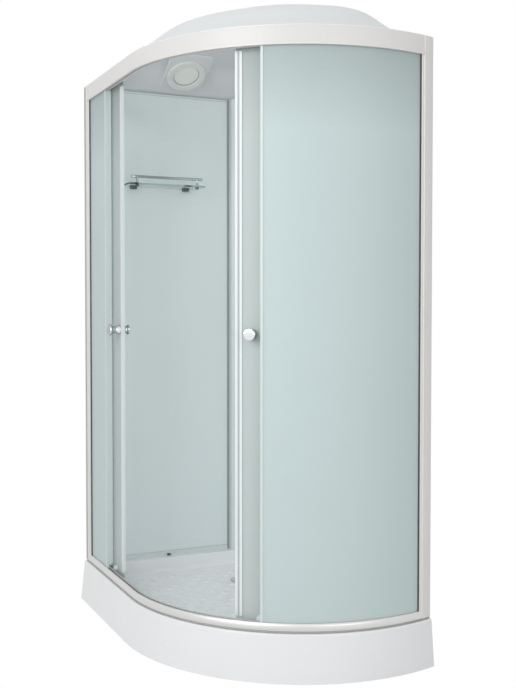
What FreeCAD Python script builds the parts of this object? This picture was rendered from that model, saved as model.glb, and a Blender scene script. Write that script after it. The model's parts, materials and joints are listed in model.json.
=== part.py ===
import FreeCAD, Part
import math
import os

import Sketcher
from FreeCAD import Placement, Rotation, Vector

# Quadrant shower enclosure: a tray on feet, a curved framed front with two sliding glass doors, two
# solid walls with a corner column, a glass shelf and a hollow roof with a lamp.
# Frame: origin on the floor at the middle of the plan, +X along the short back wall, +Y towards that
# wall, +Z up. The front starts as a straight run on the left side and goes on as one arc to the right.
# "Inset" is a distance inwards from the outer face of that front.

DRIVING_SIZES = [
    # plan
    ("front_radius", 625.0, "radius of the outer face of the curved front"),
    ("plan_width", 800.0, "left face of the frame to the side wall plane"),
    ("plan_depth", 1192.0, "foremost point of the frame to the back wall plane"),
    ("arc_sweep", 106.26, "degrees of arc from the straight run to the side wall plane"),
    # tray
    ("tray_top", 160.0, "top of the tray kerb, where the bottom rail stands"),
    ("ledge_top", 142.0, "top of the tray ledge under the two walls"),
    ("floor_top", 88.0, "top of the tray floor"),
    ("tray_skin", 6.0, "thickness of the moulded tray"),
    ("skirt_flare", 22.0, "how far the skirt stands out at its foot"),
    ("skirt_skin", 4.0, "thickness of the skirt"),
    ("skirt_low", 6.0, "lower edge of the skirt above the floor"),
    ("skirt_top", 154.0, "top of the skirt, just under the bottom rail"),
    ("drain_x", 157.0, "drain centre across the tray"),
    ("drain_y", 307.0, "drain centre along the tray"),
    ("drain_pipe_radius", 16.0, "outside radius of the waste outlet"),
    # frame
    ("rail_depth", 22.0, "depth of both rails"),
    ("bottom_rail_tall", 24.0, "height of the bottom rail"),
    ("opening_top", 1930.0, "lower edge of the top rail"),
    ("frame_top", 1987.0, "top of the top rail, posts and walls"),
    ("post_width", 41.0, "width of the left post along the front"),
    ("post_depth", 26.0, "depth of both posts"),
    ("post_start", 102.75, "degrees along the arc where the right post starts"),
    ("lip_width", 9.0, "narrow lip of a post beside the fixed glass"),
    ("glass_thick", 5.0, "thickness of every pane"),
    ("fixed_inset", 10.0, "outer face of the fixed panes"),
    ("groove_deep", 19.0, "how deep a pane sits in the top rail"),
    # doors
    ("door_inset", 38.0, "outer face of the door panes"),
    ("door_bottom", 165.0, "lower edge of the door panes"),
    ("door_top", 1973.0, "upper edge of the door panes"),
    ("left_door_tail", 32.0, "trailing edge of the left door, from the back wall plane"),
    ("left_door_nose", 362.0, "leading edge of the left door at rest"),
    ("left_fixed_end", 250.0, "free edge of the left fixed pane"),
    ("right_door_nose", 44.35, "degrees along the arc of the right door's leading edge"),
    ("right_door_tail", 97.8, "degrees along the arc of the right door's trailing edge"),
    ("right_fixed_start", 53.0, "degrees along the arc of the right fixed pane's free edge"),
    ("seal_wide", 11.0, "width of a door's magnet strip"),
    ("track_inset", 31.5, "middle of the running bead"),
    ("bead_wide", 3.0, "width of the running bead"),
    ("top_bead", 1948.0, "top of the upper running bead"),
    ("low_bead", 176.0, "top of the lower running bead"),
    ("wheel_radius", 11.0, "rim of a door wheel"),
    ("groove_radius", 9.0, "bottom of the groove of a door wheel"),
    ("wheel_lift", 9.3, "wheel centre above the bead"),
    ("axle_radius", 3.0, "axle of a door wheel"),
    ("knob_height", 1062.0, "centre of the knobs above the floor"),
    ("knob_radius", 19.5, "head of a knob"),
    # walls
    ("wall_thick", 20.0, "wall panel with its frame"),
    ("panel_thick", 4.0, "face sheet of a wall"),
    ("head_trim_tall", 9.0, "height of the trim along a wall's head"),
    ("column_start", 599.0, "left side of the corner column, from the left face of the frame"),
    ("column_proud", 40.0, "how far the corner column stands out of the back wall"),
    ("joint_wide", 9.0, "width of the dark profile beside the column"),
    # shelf
    ("shelf_long", 318.0, "length of the glass shelf"),
    ("shelf_middle", -92.0, "middle of the shelf across the wall"),
    ("shelf_height", 1618.0, "top of the shelf pane"),
    ("shelf_front", 477.0, "front edge of the shelf pane"),
    ("guard_height", 1643.0, "middle of the guard bar"),
    # roof
    ("roof_skin", 3.0, "thickness of the roof shell"),
    ("roof_lip_inset", 16.0, "upright lip of the roof behind the front face"),
    ("roof_lip_wall", 18.0, "upright lip of the roof inside the wall planes"),
    ("roof_lip_top", 1991.0, "top of that lip"),
    ("roof_top", 2150.0, "overall height"),
    ("lamp_x", -13.0, "lamp centre across the roof"),
    ("lamp_y", 490.0, "lamp centre along the roof"),
    ("lamp_z", 2044.5, "lamp centre above the floor"),
    ("lamp_tilt", 33.0, "degrees by which the lamp's seat rises from the back wall"),
    ("lamp_radius", 77.0, "outside of the lamp's bezel"),
    ("lens_radius", 50.0, "lamp lens"),
    # mixer
    ("mixer_height", 1150.0, "middle of the mixer"),
    ("inlet_spacing", 100.0, "distance between the hot and cold inlets"),
    ("inlet_radius", 10.45, "outside radius of a half-inch inlet thread"),
]

doc = FreeCAD.newDocument("shower_enclosure")
sheet = doc.addObject("Spreadsheet::Sheet", "sizes")


class Dim:
    """A length or angle with its number and the sheet expression that gives it."""

    def __init__(self, number, text=None):
        self.number = float(number)
        self.text = text or repr(float(number))

    def joined(self, other, sign, number):
        return Dim(number, "({} {} {})".format(self.text, sign, other.text))

    def __add__(self, other):
        other = dim(other)
        return self.joined(other, "+", self.number + other.number)

    def __sub__(self, other):
        other = dim(other)
        return self.joined(other, "-", self.number - other.number)

    def __mul__(self, other):
        other = dim(other)
        return self.joined(other, "*", self.number * other.number)

    def __truediv__(self, other):
        other = dim(other)
        return self.joined(other, "/", self.number / other.number)

    def __radd__(self, other):
        return dim(other) + self

    def __rsub__(self, other):
        return dim(other) - self

    def __rmul__(self, other):
        return dim(other) * self

    def __neg__(self):
        return dim(0) - self


def dim(value):
    """Give a plain number the same methods as a size of the sheet."""
    return value if isinstance(value, Dim) else Dim(value)


def cos_of(degrees):
    degrees = dim(degrees)
    return Dim(math.cos(math.radians(degrees.number)), "cos({} * 1 deg)".format(degrees.text))


def sin_of(degrees):
    degrees = dim(degrees)
    return Dim(math.sin(math.radians(degrees.number)), "sin({} * 1 deg)".format(degrees.text))


class Sizes:
    """The driving sizes, each under its own name."""


def fill_sheet():
    """Write the driving sizes to the sheet and return them by name."""
    sizes = Sizes()
    for row, (alias, number, meaning) in enumerate(DRIVING_SIZES, start=1):
        sheet.set("A{}".format(row), meaning)
        sheet.set("B{}".format(row), str(number))
        sheet.setAlias("B{}".format(row), alias)
        setattr(sizes, alias, Dim(number, "sizes.{}".format(alias)))
    doc.recompute()
    return sizes


S = fill_sheet()
LEFT = S.skirt_flare / 2 - S.plan_width / 2
RIGHT = LEFT + S.plan_width
BACK = (S.plan_depth + S.skirt_flare) / 2
ARC_X = LEFT + S.front_radius
ARC_Y = BACK - S.plan_depth + S.front_radius
PARTS = []


# ---------------------------------------------------------------- drawing helpers
def bind(item, path, size):
    item.setExpression(path, dim(size).text)


def place(item, at, rotation=None):
    """Set an object's place from sizes, with an optional fixed rotation."""
    at = [dim(value) for value in at]
    item.Placement = Placement(Vector(*[value.number for value in at]), rotation or Rotation())
    for axis, value in zip("xyz", at):
        bind(item, "Placement.Base." + axis, value)


def box(name, corner, lengths):
    item = doc.addObject("Part::Box", name)
    for prop, value in zip(("Length", "Width", "Height"), lengths):
        bind(item, prop, value)
    place(item, corner)
    return item


def rod(name, start, direction, radius, length):
    """A cylinder from a start point along a direction."""
    item = doc.addObject("Part::Cylinder", name)
    bind(item, "Radius", radius)
    bind(item, "Height", length)
    place(item, start, Rotation(Vector(0, 0, 1), Vector(*direction)))
    return item


def cut(name, base, tools):
    tool = tools[0] if len(tools) == 1 else fuse(name + "_tools", tools)
    item = doc.addObject("Part::Cut", name)
    item.Base = base
    item.Tool = tool
    return item


def fuse(name, pieces):
    item = doc.addObject("Part::MultiFuse", name)
    item.Shapes = pieces
    return item


def group(name, pieces):
    """Several like pieces kept as separate solids of one node."""
    item = doc.addObject("Part::Compound", name)
    item.Links = pieces
    return item


def node(name, item):
    """Name a finished piece and keep it for export."""
    item.Label = name
    PARTS.append(item)
    return item


def front_point(degrees, inset, height):
    """A point at an angle along the arc, inset from the front's outer face."""
    reach = S.front_radius - inset
    return (ARC_X - reach * cos_of(degrees), ARC_Y - reach * sin_of(degrees), dim(height))


def inwards(degrees):
    """Unit vector from the arc's outer face to its centre."""
    angle = math.radians(dim(degrees).number)
    return (math.cos(angle), math.sin(angle), 0.0)


def new_body(name):
    return doc.addObject("PartDesign::Body", name)


def plane_of(body, role):
    return next(item for item in body.Origin.OriginFeatures if item.Role == role)


def body_sketch(body, name, height=None, role="XY_Plane"):
    sketch = body.newObject("Sketcher::SketchObject", name)
    sketch.AttachmentSupport = [(plane_of(body, role), "")]
    sketch.MapMode = "FlatFace"
    if height is not None:
        sketch.AttachmentOffset = Placement(Vector(0, 0, dim(height).number), Rotation())
        bind(sketch, "AttachmentOffset.Base.z", height)
    return sketch


def loose_sketch(name, height):
    sketch = doc.addObject("Sketcher::SketchObject", name)
    place(sketch, (0, 0, height))
    return sketch


def hold(sketch, kind, *items, size=None, angle=None):
    """Add a constraint; a size or an angle binds it to the sheet."""
    if size is not None:
        size = dim(size)
        index = sketch.addConstraint(Sketcher.Constraint(kind, *items, size.number))
        bind(sketch, "Constraints[{}]".format(index), size)
    elif angle is not None:
        angle = dim(angle)
        index = sketch.addConstraint(Sketcher.Constraint(kind, *items, math.radians(angle.number)))
        sketch.setExpression("Constraints[{}]".format(index), "{} * 1 deg".format(angle.text))
    else:
        sketch.addConstraint(Sketcher.Constraint(kind, *items))


def join_ends(sketch, pairs):
    for first, first_end, second, second_end in pairs:
        hold(sketch, "Coincident", first, first_end, second, second_end)


def line(start, end):
    return Part.LineSegment(
        Vector(dim(start[0]).number, dim(start[1]).number, 0),
        Vector(dim(end[0]).number, dim(end[1]).number, 0),
    )


def front_arc(inset, start, end):
    centre = Vector(ARC_X.number, ARC_Y.number, 0)
    circle = Part.Circle(centre, Vector(0, 0, 1), (S.front_radius - inset).number)
    turn = math.radians(180.0)
    return Part.ArcOfCircle(
        circle,
        turn + math.radians(dim(start).number),
        turn + math.radians(dim(end).number),
    )


def hold_centre(sketch, arc):
    hold(sketch, "DistanceX", -1, 1, arc, 3, size=ARC_X)
    hold(sketch, "DistanceY", -1, 1, arc, 3, size=ARC_Y)


def hold_radial(sketch, edge, arc, angle):
    """Keep an end line on the arc's centre, at an angle."""
    hold(sketch, "PointOnObject", arc, 3, edge)
    hold(sketch, "Angle", edge, angle=angle)


def plan_outline(sketch, front, wall):
    """The closed plan: straight run, arc, side wall and back wall, each inset."""
    side_x = RIGHT - wall
    back_y = BACK - wall
    front_x = LEFT + front
    reach = (S.front_radius - front).number
    end = 180.0 - math.degrees(math.acos((side_x.number - ARC_X.number) / reach))
    end_point = front_point(end, front, 0)
    sketch.addGeometry(line((front_x, back_y), (front_x, ARC_Y)))
    sketch.addGeometry(front_arc(front, 0, end))
    sketch.addGeometry(line(end_point, (side_x, back_y)))
    sketch.addGeometry(line((side_x, back_y), (front_x, back_y)))
    join_ends(sketch, [(0, 2, 1, 1), (1, 2, 2, 1), (2, 2, 3, 1), (3, 2, 0, 1)])
    hold(sketch, "Vertical", 0)
    hold(sketch, "Vertical", 2)
    hold(sketch, "Horizontal", 3)
    hold_centre(sketch, 1)
    hold(sketch, "Radius", 1, size=S.front_radius - front)
    hold(sketch, "Horizontal", 0, 2, 1, 3)
    hold(sketch, "DistanceX", -1, 1, 2, 2, size=side_x)
    hold(sketch, "DistanceY", -1, 1, 2, 2, size=back_y)
    return sketch


def rounded_plan(sketch, front, wall, corner):
    """The closed plan again, with its three corners rounded."""
    side_x = RIGHT - wall
    back_y = BACK - wall
    front_x = LEFT + front
    reach = S.front_radius - front
    core_x = side_x - corner
    core_away = (reach - corner).number
    core_drop = math.sqrt(core_away ** 2 - (ARC_X - core_x).number ** 2)
    meet = math.degrees(math.atan2(core_drop, (ARC_X - core_x).number))
    core_y = ARC_Y.number - core_drop
    back_core = back_y - corner
    round_radius = dim(corner).number

    def fillet(x, y, start, end):
        circle = Part.Circle(Vector(dim(x).number, dim(y).number, 0), Vector(0, 0, 1), round_radius)
        return Part.ArcOfCircle(circle, math.radians(start), math.radians(end))

    sketch.addGeometry(line((front_x, back_core), (front_x, ARC_Y)))
    sketch.addGeometry(front_arc(front, 0, meet))
    sketch.addGeometry(fillet(core_x, core_y, 180 + meet, 360))
    sketch.addGeometry(line((side_x, core_y), (side_x, back_core)))
    sketch.addGeometry(fillet(core_x, back_core, 0, 90))
    sketch.addGeometry(line((core_x, back_y), (front_x + corner, back_y)))
    sketch.addGeometry(fillet(front_x + corner, back_core, 90, 180))
    join_ends(sketch, [(0, 2, 1, 1)])
    hold(sketch, "Vertical", 0)
    hold_centre(sketch, 1)
    hold(sketch, "Radius", 1, size=reach)
    hold(sketch, "Horizontal", 0, 2, 1, 3)
    for first, second in ((1, 2), (2, 3), (3, 4), (4, 5), (5, 6), (6, 0)):
        hold(sketch, "Tangent", first, 2, second, 1)
    for arc in (2, 4, 6):
        hold(sketch, "Radius", arc, size=corner)
    hold(sketch, "DistanceX", -1, 1, 3, 2, size=side_x)
    hold(sketch, "DistanceY", -1, 1, 5, 1, size=back_y)
    return sketch


def front_strip(sketch, outer, inner, start_y, end):
    """A strip along the straight run and the arc, between two insets."""
    outer_x = LEFT + outer
    inner_x = LEFT + inner
    sketch.addGeometry(line((outer_x, start_y), (outer_x, ARC_Y)))
    sketch.addGeometry(front_arc(outer, 0, end))
    sketch.addGeometry(line(front_point(end, outer, 0), front_point(end, inner, 0)))
    sketch.addGeometry(front_arc(inner, 0, end))
    sketch.addGeometry(line((inner_x, ARC_Y), (inner_x, start_y)))
    sketch.addGeometry(line((inner_x, start_y), (outer_x, start_y)))
    join_ends(
        sketch,
        [(0, 2, 1, 1), (1, 2, 2, 1), (2, 2, 3, 2), (3, 1, 4, 1), (4, 2, 5, 1), (5, 2, 0, 1)],
    )
    hold(sketch, "Vertical", 0)
    hold(sketch, "Vertical", 4)
    hold(sketch, "Horizontal", 5)
    hold_centre(sketch, 1)
    hold(sketch, "Coincident", 3, 3, 1, 3)
    hold(sketch, "Radius", 1, size=S.front_radius - outer)
    hold(sketch, "Radius", 3, size=S.front_radius - inner)
    hold(sketch, "Horizontal", 0, 2, 1, 3)
    hold(sketch, "Horizontal", 4, 1, 1, 3)
    hold(sketch, "DistanceY", -1, 1, 5, 1, size=start_y)
    hold_radial(sketch, 2, 1, end)
    return sketch


def arc_strip(sketch, outer, inner, start, end):
    """A strip along the arc only, between two insets and two angles."""
    sketch.addGeometry(front_arc(outer, start, end))
    sketch.addGeometry(line(front_point(end, outer, 0), front_point(end, inner, 0)))
    sketch.addGeometry(front_arc(inner, start, end))
    sketch.addGeometry(line(front_point(start, inner, 0), front_point(start, outer, 0)))
    join_ends(sketch, [(0, 2, 1, 1), (1, 2, 2, 2), (2, 1, 3, 1), (3, 2, 0, 1)])
    hold_centre(sketch, 0)
    hold(sketch, "Coincident", 2, 3, 0, 3)
    hold(sketch, "Radius", 0, size=S.front_radius - outer)
    hold(sketch, "Radius", 2, size=S.front_radius - inner)
    hold_radial(sketch, 1, 0, end)
    hold_radial(sketch, 3, 0, dim(start) + 180)
    return sketch


def polygon(sketch, points):
    """A closed outline through points given as sizes."""
    points = [(dim(x), dim(y)) for x, y in points]
    count = len(points)
    for index, start in enumerate(points):
        sketch.addGeometry(line(start, points[(index + 1) % count]))
    join_ends(sketch, [(index, 2, (index + 1) % count, 1) for index in range(count)])
    for index, (x, y) in enumerate(points):
        if x.number:
            hold(sketch, "DistanceX", -1, 1, index, 1, size=x)
        else:
            hold(sketch, "PointOnObject", index, 1, -2)
        if y.number:
            hold(sketch, "DistanceY", -1, 1, index, 1, size=y)
        else:
            hold(sketch, "PointOnObject", index, 1, -1)
    return sketch


def pad(body, sketch, length, name):
    feature = body.newObject("PartDesign::Pad", name)
    feature.Profile = sketch
    bind(feature, "Length", length)
    return feature


def pocket(body, sketch, length, name):
    """Remove material above a sketch and make sure that some came off."""
    doc.recompute()
    before = body.Shape.Volume
    feature = body.newObject("PartDesign::Pocket", name)
    feature.Profile = sketch
    feature.Reversed = True
    bind(feature, "Length", length)
    doc.recompute()
    if not body.Shape.Volume < before - 1.0:
        raise RuntimeError("pocket {} removed nothing".format(name))
    return feature


def turned(name, points):
    """A turned piece: points are (radius, height), spun about the vertical."""
    body = new_body(name)
    sketch = polygon(body_sketch(body, name + "_profile", role="XZ_Plane"), points)
    spin = body.newObject("PartDesign::Revolution", name + "_spin")
    spin.Profile = sketch
    spin.ReferenceAxis = (sketch, ["V_Axis"])
    spin.Angle = 360.0
    return body


def along(direction):
    """Rotation that lays a turned piece's axis along a direction."""
    return Rotation(Vector(0, 0, 1), Vector(*direction))


def round_edges(body, radius, name, chosen):
    """Round the edges of a body's last feature that a test picks."""
    doc.recompute()
    last = body.Tip
    edges = [
        "Edge{}".format(number)
        for number, edge in enumerate(last.Shape.Edges, start=1)
        if chosen(edge)
    ]
    if not edges:
        raise RuntimeError("no edges for {}".format(name))
    feature = body.newObject("PartDesign::Fillet", name)
    feature.Base = (last, edges)
    bind(feature, "Radius", radius)
    return feature


def near(value, target):
    return abs(value - dim(target).number) < 0.01


def lies_at(edge, height):
    box_of_edge = edge.BoundBox
    return near(box_of_edge.ZMin, height) and near(box_of_edge.ZMax, height)


def on_front(edge, inset):
    """True where both ends of an edge keep one inset from the front face."""
    for vertex in edge.Vertexes:
        point = vertex.Point
        if point.y > ARC_Y.number:
            if not near(point.x, LEFT + inset):
                return False
        else:
            reach = math.hypot(point.x - ARC_X.number, point.y - ARC_Y.number)
            if not near(reach, S.front_radius - inset):
                return False
    return True


# ---------------------------------------------------------------- tray
WALL_INSET = dim(50)
SKIRT_GAP = S.skirt_skin + 1
KERB_OUTER = dim(8)
KERB_INNER = dim(46)
CLIP_OUTER = dim(-3.5)
CLIP_INNER = dim(23)
SUPPORT_TALL = dim(30)
CROSS_LOW = dim(22)
FOOT_SPOTS = [
    (-280, 500), (0, 500), (300, 500), (-280, 150), (300, 150),
    (-280, -200), (300, -200), (0, -450), (300, -450),
]


def make_tray_basin():
    """Moulded tray: ledge under the walls, raised kerb under the front, sunk floor."""
    floor_low = S.floor_top - S.tray_skin
    ledge_low = S.ledge_top - S.tray_skin
    body = new_body("tray_basin")
    bowl = plan_outline(body_sketch(body, "bowl_outline", floor_low), WALL_INSET, WALL_INSET)
    pad(body, bowl, S.ledge_top - floor_low, "bowl")
    ledge = plan_outline(body_sketch(body, "ledge_outline", ledge_low), SKIRT_GAP, dim(0))
    pad(body, ledge, S.tray_skin, "ledge")
    kerb = body_sketch(body, "kerb_outline", S.ledge_top)
    front_strip(kerb, KERB_OUTER, KERB_INNER, BACK, S.arc_sweep)
    pad(body, kerb, S.tray_top - S.ledge_top, "kerb")
    hollow = WALL_INSET + S.tray_skin
    well = plan_outline(body_sketch(body, "well_outline", S.floor_top), hollow, hollow)
    pocket(body, well, 100, "well")
    round_edges(body, 14, "well_corner", lambda edge: lies_at(edge, S.floor_top))
    hole = body_sketch(body, "drain_hole", floor_low - 1)
    hole.addGeometry(Part.Circle(Vector(S.drain_x.number, S.drain_y.number, 0), Vector(0, 0, 1), 46))
    hold(hole, "DistanceX", -1, 1, 0, 3, size=S.drain_x)
    hold(hole, "DistanceY", -1, 1, 0, 3, size=S.drain_y)
    hold(hole, "Radius", 0, size=46)
    pocket(body, hole, S.tray_skin + 2, "drain_opening")
    node("tray_basin", body)


def make_tray_apron():
    """Curved skirt that leans out towards the floor and turns in at its top."""
    body = new_body("skirt_body")
    profile = body_sketch(body, "skirt_profile", -ARC_Y, role="XZ_Plane")
    skin = S.skirt_skin
    polygon(profile, [
        (LEFT - S.skirt_flare, S.skirt_low), (LEFT - S.skirt_flare + skin, S.skirt_low),
        (LEFT - 3, S.skirt_top - 9), (LEFT + 0.5, S.skirt_top - skin),
        (LEFT + 4, S.skirt_top - skin), (LEFT + 4, S.skirt_top),
        (LEFT - 2, S.skirt_top), (LEFT - 5.2, S.skirt_top - 1.4), (LEFT - 7, S.skirt_top - 5),
    ])
    centre = profile.addGeometry(line((ARC_X, 0), (ARC_X, 100)), True)
    hold(profile, "Vertical", centre)
    hold(profile, "DistanceX", -1, 1, centre, 1, size=ARC_X)
    hold(profile, "PointOnObject", centre, 1, -1)
    hold(profile, "DistanceY", centre, 1, centre, 2, size=100)
    straight = pad(body, profile, BACK - ARC_Y, "skirt_straight")
    straight.Reversed = True
    turn = body.newObject("PartDesign::Revolution", "skirt_curved")
    turn.Profile = profile
    turn.ReferenceAxis = (profile, ["Axis0"])
    turn.setExpression("Angle", (S.arc_sweep + 1).text)
    beyond = box("beyond_side_wall", (RIGHT, ARC_Y - 700, -10), (100, 400, S.skirt_top + 20))
    node("tray_apron", cut("skirt_cut", body, [beyond]))


def make_sill_gasket():
    """Dark seal strip between the skirt's top and the bottom rail."""
    body = new_body("gasket_body")
    tall = dim(5)
    outline = front_strip(
        body_sketch(body, "sill_gasket_outline", S.tray_top - tall), dim(2.5), KERB_OUTER, BACK, S.arc_sweep
    )
    pad(body, outline, tall, "sill_gasket_pad")
    node("sill_gasket", body)


def make_tray_support():
    """Steel bearers under the tray: three long ones on cross ones, clear of the waste pipe."""
    under_floor = S.floor_top - S.tray_skin
    long_low = under_floor - SUPPORT_TALL
    bars = []
    for x, start_y in ((-280, -210), (0, -470), (300, -470)):
        bars.append(
            box("long_bar_{}".format(len(bars)), (dim(x - 15), start_y, long_low),
                (30, 535 - start_y, SUPPORT_TALL))
        )
    cross_spans = (
        (500, -310, 30), (500, 270, 340), (150, -310, 340), (-200, -300, 340), (-450, -30, 340),
    )
    for y, start_x, end_x in cross_spans:
        bars.append(
            box("cross_bar_{}".format(len(bars)), (start_x, dim(y - 15), CROSS_LOW),
                (end_x - start_x, 30, long_low - CROSS_LOW))
        )
    node("tray_support_frame", group("support_bars", bars))


def make_feet():
    """Adjustable feet under the cross bearers: studs, lock nuts and pads."""
    studs = []
    nuts = []
    pads = []
    for number, (x, y) in enumerate(FOOT_SPOTS):
        studs.append(rod("stud_{}".format(number), (x, y, 6), (0, 0, 1), 5, CROSS_LOW - 6))
        nut = doc.addObject("Part::Prism", "nut_{}".format(number))
        nut.Polygon = 6
        nut.Circumradius = 9.8
        nut.Height = 8
        place(nut, (x, y, CROSS_LOW - 8))
        bore = rod("nut_bore_{}".format(number), (x, y, CROSS_LOW - 9), (0, 0, 1), 5, 10)
        nuts.append(cut("lock_nut_{}".format(number), nut, [bore]))
        pad_body = doc.addObject("Part::Cone", "pad_{}".format(number))
        pad_body.Radius1 = 24
        pad_body.Radius2 = 14
        pad_body.Height = 10
        place(pad_body, (x, y, 0))
        socket = rod("pad_socket_{}".format(number), (x, y, 6), (0, 0, 1), 5, 5)
        pads.append(cut("foot_pad_{}".format(number), pad_body, [socket]))
    node("foot_studs", group("studs", studs))
    node("foot_nuts", group("nuts", nuts))
    node("foot_pads", group("pads", pads))


def make_apron_clips():
    """Spring clips under the ledge that hold the skirt."""
    tall = dim(26)
    low = S.ledge_top - S.tray_skin - tall
    clips = []
    for number, y in enumerate((420, 130)):
        clips.append(box("straight_clip_{}".format(number), (LEFT + CLIP_OUTER, y, low),
                         (CLIP_INNER - CLIP_OUTER, 30, tall)))
    for number, start in enumerate((22, 50, 78)):
        body = new_body("arc_clip_{}".format(number))
        outline = arc_strip(
            body_sketch(body, "arc_clip_outline_{}".format(number), low),
            CLIP_OUTER, CLIP_INNER, dim(start), dim(start + 3),
        )
        pad(body, outline, tall, "arc_clip_pad_{}".format(number))
        clips.append(body)
    node("apron_clips", group("clips", clips))


def make_drain():
    """Waste trap under the floor, its flange in the tray and the lift-out grate."""
    floor_low = S.floor_top - S.tray_skin
    at = (S.drain_x, S.drain_y, 0)
    flange = turned("flange_turned", [
        (40, floor_low), (45, floor_low), (45, S.floor_top),
        (56, S.floor_top), (56, S.floor_top + 2), (40, S.floor_top + 2),
    ])
    place(flange, at)
    node("drain_flange", flange)
    cup_low = dim(28)
    cup = turned("cup_turned", [
        (0, cup_low), (44, cup_low), (50, cup_low + 6), (50, floor_low),
        (40, floor_low), (40, cup_low + 8), (0, cup_low + 8),
    ])
    place(cup, at)
    pipe_height = dim(50)
    pipe_start = (S.drain_x, S.drain_y + 45, pipe_height)
    pipe = rod("outlet_pipe", pipe_start, (0, 1, 0), S.drain_pipe_radius, 130)
    bead = rod("outlet_bead", (S.drain_x, S.drain_y + 120, pipe_height), (0, 1, 0),
               S.drain_pipe_radius + 3, 8)
    bore = rod("outlet_bore", (S.drain_x, S.drain_y + 30, pipe_height), (0, 1, 0),
               S.drain_pipe_radius - 2.5, 150)
    node("drain_trap", cut("trap", fuse("trap_outside", [cup, pipe, bead]), [bore]))
    plate_low = S.floor_top + 2.3
    plate = turned("plate_turned", [
        (0, plate_low), (54, plate_low), (54, plate_low + 1.5), (50, plate_low + 3),
        (0, plate_low + 3),
    ])
    place(plate, at)
    skirt = cut("grate_skirt", rod("skirt_out", (S.drain_x, S.drain_y, S.floor_top - 12), (0, 0, 1), 39, 15),
                [rod("skirt_in", (S.drain_x, S.drain_y, S.floor_top - 13), (0, 0, 1), 36, 16)])
    slots = []
    for ring, (reach, count) in enumerate(((14, 6), (27, 12))):
        for step in range(count):
            angle = 360.0 * step / count
            spot = (S.drain_x + reach * cos_of(angle), S.drain_y + reach * sin_of(angle), S.floor_top)
            slots.append(rod("grate_hole_{}_{}".format(ring, step), spot, (0, 0, 1), 3.5, 8))
    whole = fuse("grate_outside", [plate, skirt])
    node("drain_grate", cut("grate", whole, slots))


# ---------------------------------------------------------------- frame
GROOVE_SLACK = dim(0.5)
GLASS_SEAT = dim(14)
LEDGE_THICK = dim(4)


def make_rail(name, low, high, groove_low, groove_high, bead_top):
    """One curved rail: hollow for the fixed pane and a bead for the door wheels."""
    start_y = BACK - S.post_width
    body = new_body(name)
    section = front_strip(
        body_sketch(body, name + "_outline", low), dim(0), S.rail_depth, start_y, S.post_start
    )
    pad(body, section, high - low, name + "_face")
    ledge = front_strip(
        body_sketch(body, name + "_ledge", bead_top - 8), S.rail_depth, S.track_inset + 2.5,
        start_y, S.post_start,
    )
    pad(body, ledge, LEDGE_THICK, name + "_shelf")
    bead = front_strip(
        body_sketch(body, name + "_bead", bead_top - 4), S.track_inset - S.bead_wide / 2,
        S.track_inset + S.bead_wide / 2, start_y, S.post_start,
    )
    pad(body, bead, 4, name + "_track")
    groove = front_strip(
        body_sketch(body, name + "_groove", groove_low), S.fixed_inset - GROOVE_SLACK,
        S.fixed_inset + S.glass_thick + GROOVE_SLACK, start_y, S.post_start,
    )
    pocket(body, groove, groove_high - groove_low, name + "_slot")
    return body


def make_rails():
    low_top = S.tray_top + S.bottom_rail_tall
    lower = make_rail("bottom_rail", S.tray_top, low_top, S.tray_top + GLASS_SEAT, low_top + 1, S.low_bead)
    round_edges(
        lower, 9, "bottom_rail_round",
        lambda edge: on_front(edge, 0) and (lies_at(edge, low_top) or lies_at(edge, S.tray_top)),
    )
    node("bottom_rail", lower)
    upper = make_rail(
        "top_rail", S.opening_top, S.frame_top, S.opening_top - 1, S.opening_top + S.groove_deep + 1,
        S.top_bead,
    )
    step = front_strip(
        body_sketch(upper, "top_rail_step", S.opening_top + 8), dim(0), dim(1.6),
        BACK - S.post_width, S.post_start,
    )
    pocket(upper, step, 60, "top_rail_face_step")
    round_edges(
        upper, 1.5, "top_rail_round",
        lambda edge: on_front(edge, 1.6) and lies_at(edge, S.frame_top),
    )
    node("top_rail", upper)


def make_posts():
    """Upright profiles at both ends of the front, each with a lip over the pane."""
    tall = S.frame_top - S.tray_top
    lip_low = S.tray_top + S.bottom_rail_tall
    lip_tall = S.opening_top - lip_low
    outer = S.fixed_inset - GROOVE_SLACK
    inner = S.fixed_inset + S.glass_thick + GROOVE_SLACK
    post = box("left_post_bar", (LEFT, BACK - S.post_width, S.tray_top),
               (S.post_depth, S.post_width, tall))
    lip = box("left_post_lip", (LEFT + 3, BACK - S.post_width - S.lip_width, lip_low),
              (19, S.lip_width, lip_tall))
    slot = box("left_post_slot", (LEFT + outer, BACK - S.post_width - S.lip_width - 1, S.tray_top + GLASS_SEAT),
               (inner - outer, S.lip_width + 13, S.opening_top + S.groove_deep - S.tray_top - GLASS_SEAT))
    core = box("left_post_core", (LEFT + 3, BACK - S.post_width + 15, S.tray_top - 1),
               (S.post_depth - 6, S.post_width - 18, tall + 2))
    node("left_post", cut("left_post_cut", fuse("left_post_solid", [post, lip]), [slot, core]))
    lip_angle = dim(0.85)
    body = new_body("right_post")
    bar = arc_strip(body_sketch(body, "right_post_outline", S.tray_top), dim(0), S.post_depth,
                    S.post_start, S.arc_sweep)
    pad(body, bar, tall, "right_post_bar")
    edge = arc_strip(body_sketch(body, "right_lip_outline", lip_low), dim(3), S.rail_depth,
                     S.post_start - lip_angle, S.post_start + 0.2)
    pad(body, edge, lip_tall, "right_post_lip")
    slot_start = S.tray_top + GLASS_SEAT
    seat = arc_strip(body_sketch(body, "right_slot_outline", slot_start), outer, inner,
                     S.post_start - 1, S.post_start + 0.4)
    pocket(body, seat, S.opening_top + S.groove_deep - slot_start, "right_post_slot")
    hollow = arc_strip(body_sketch(body, "right_core_outline", S.tray_top - 1), dim(3),
                       S.post_depth - 3, S.post_start + 0.8, S.arc_sweep - 0.35)
    pocket(body, hollow, tall + 2, "right_post_core")
    node("right_post", body)


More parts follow.
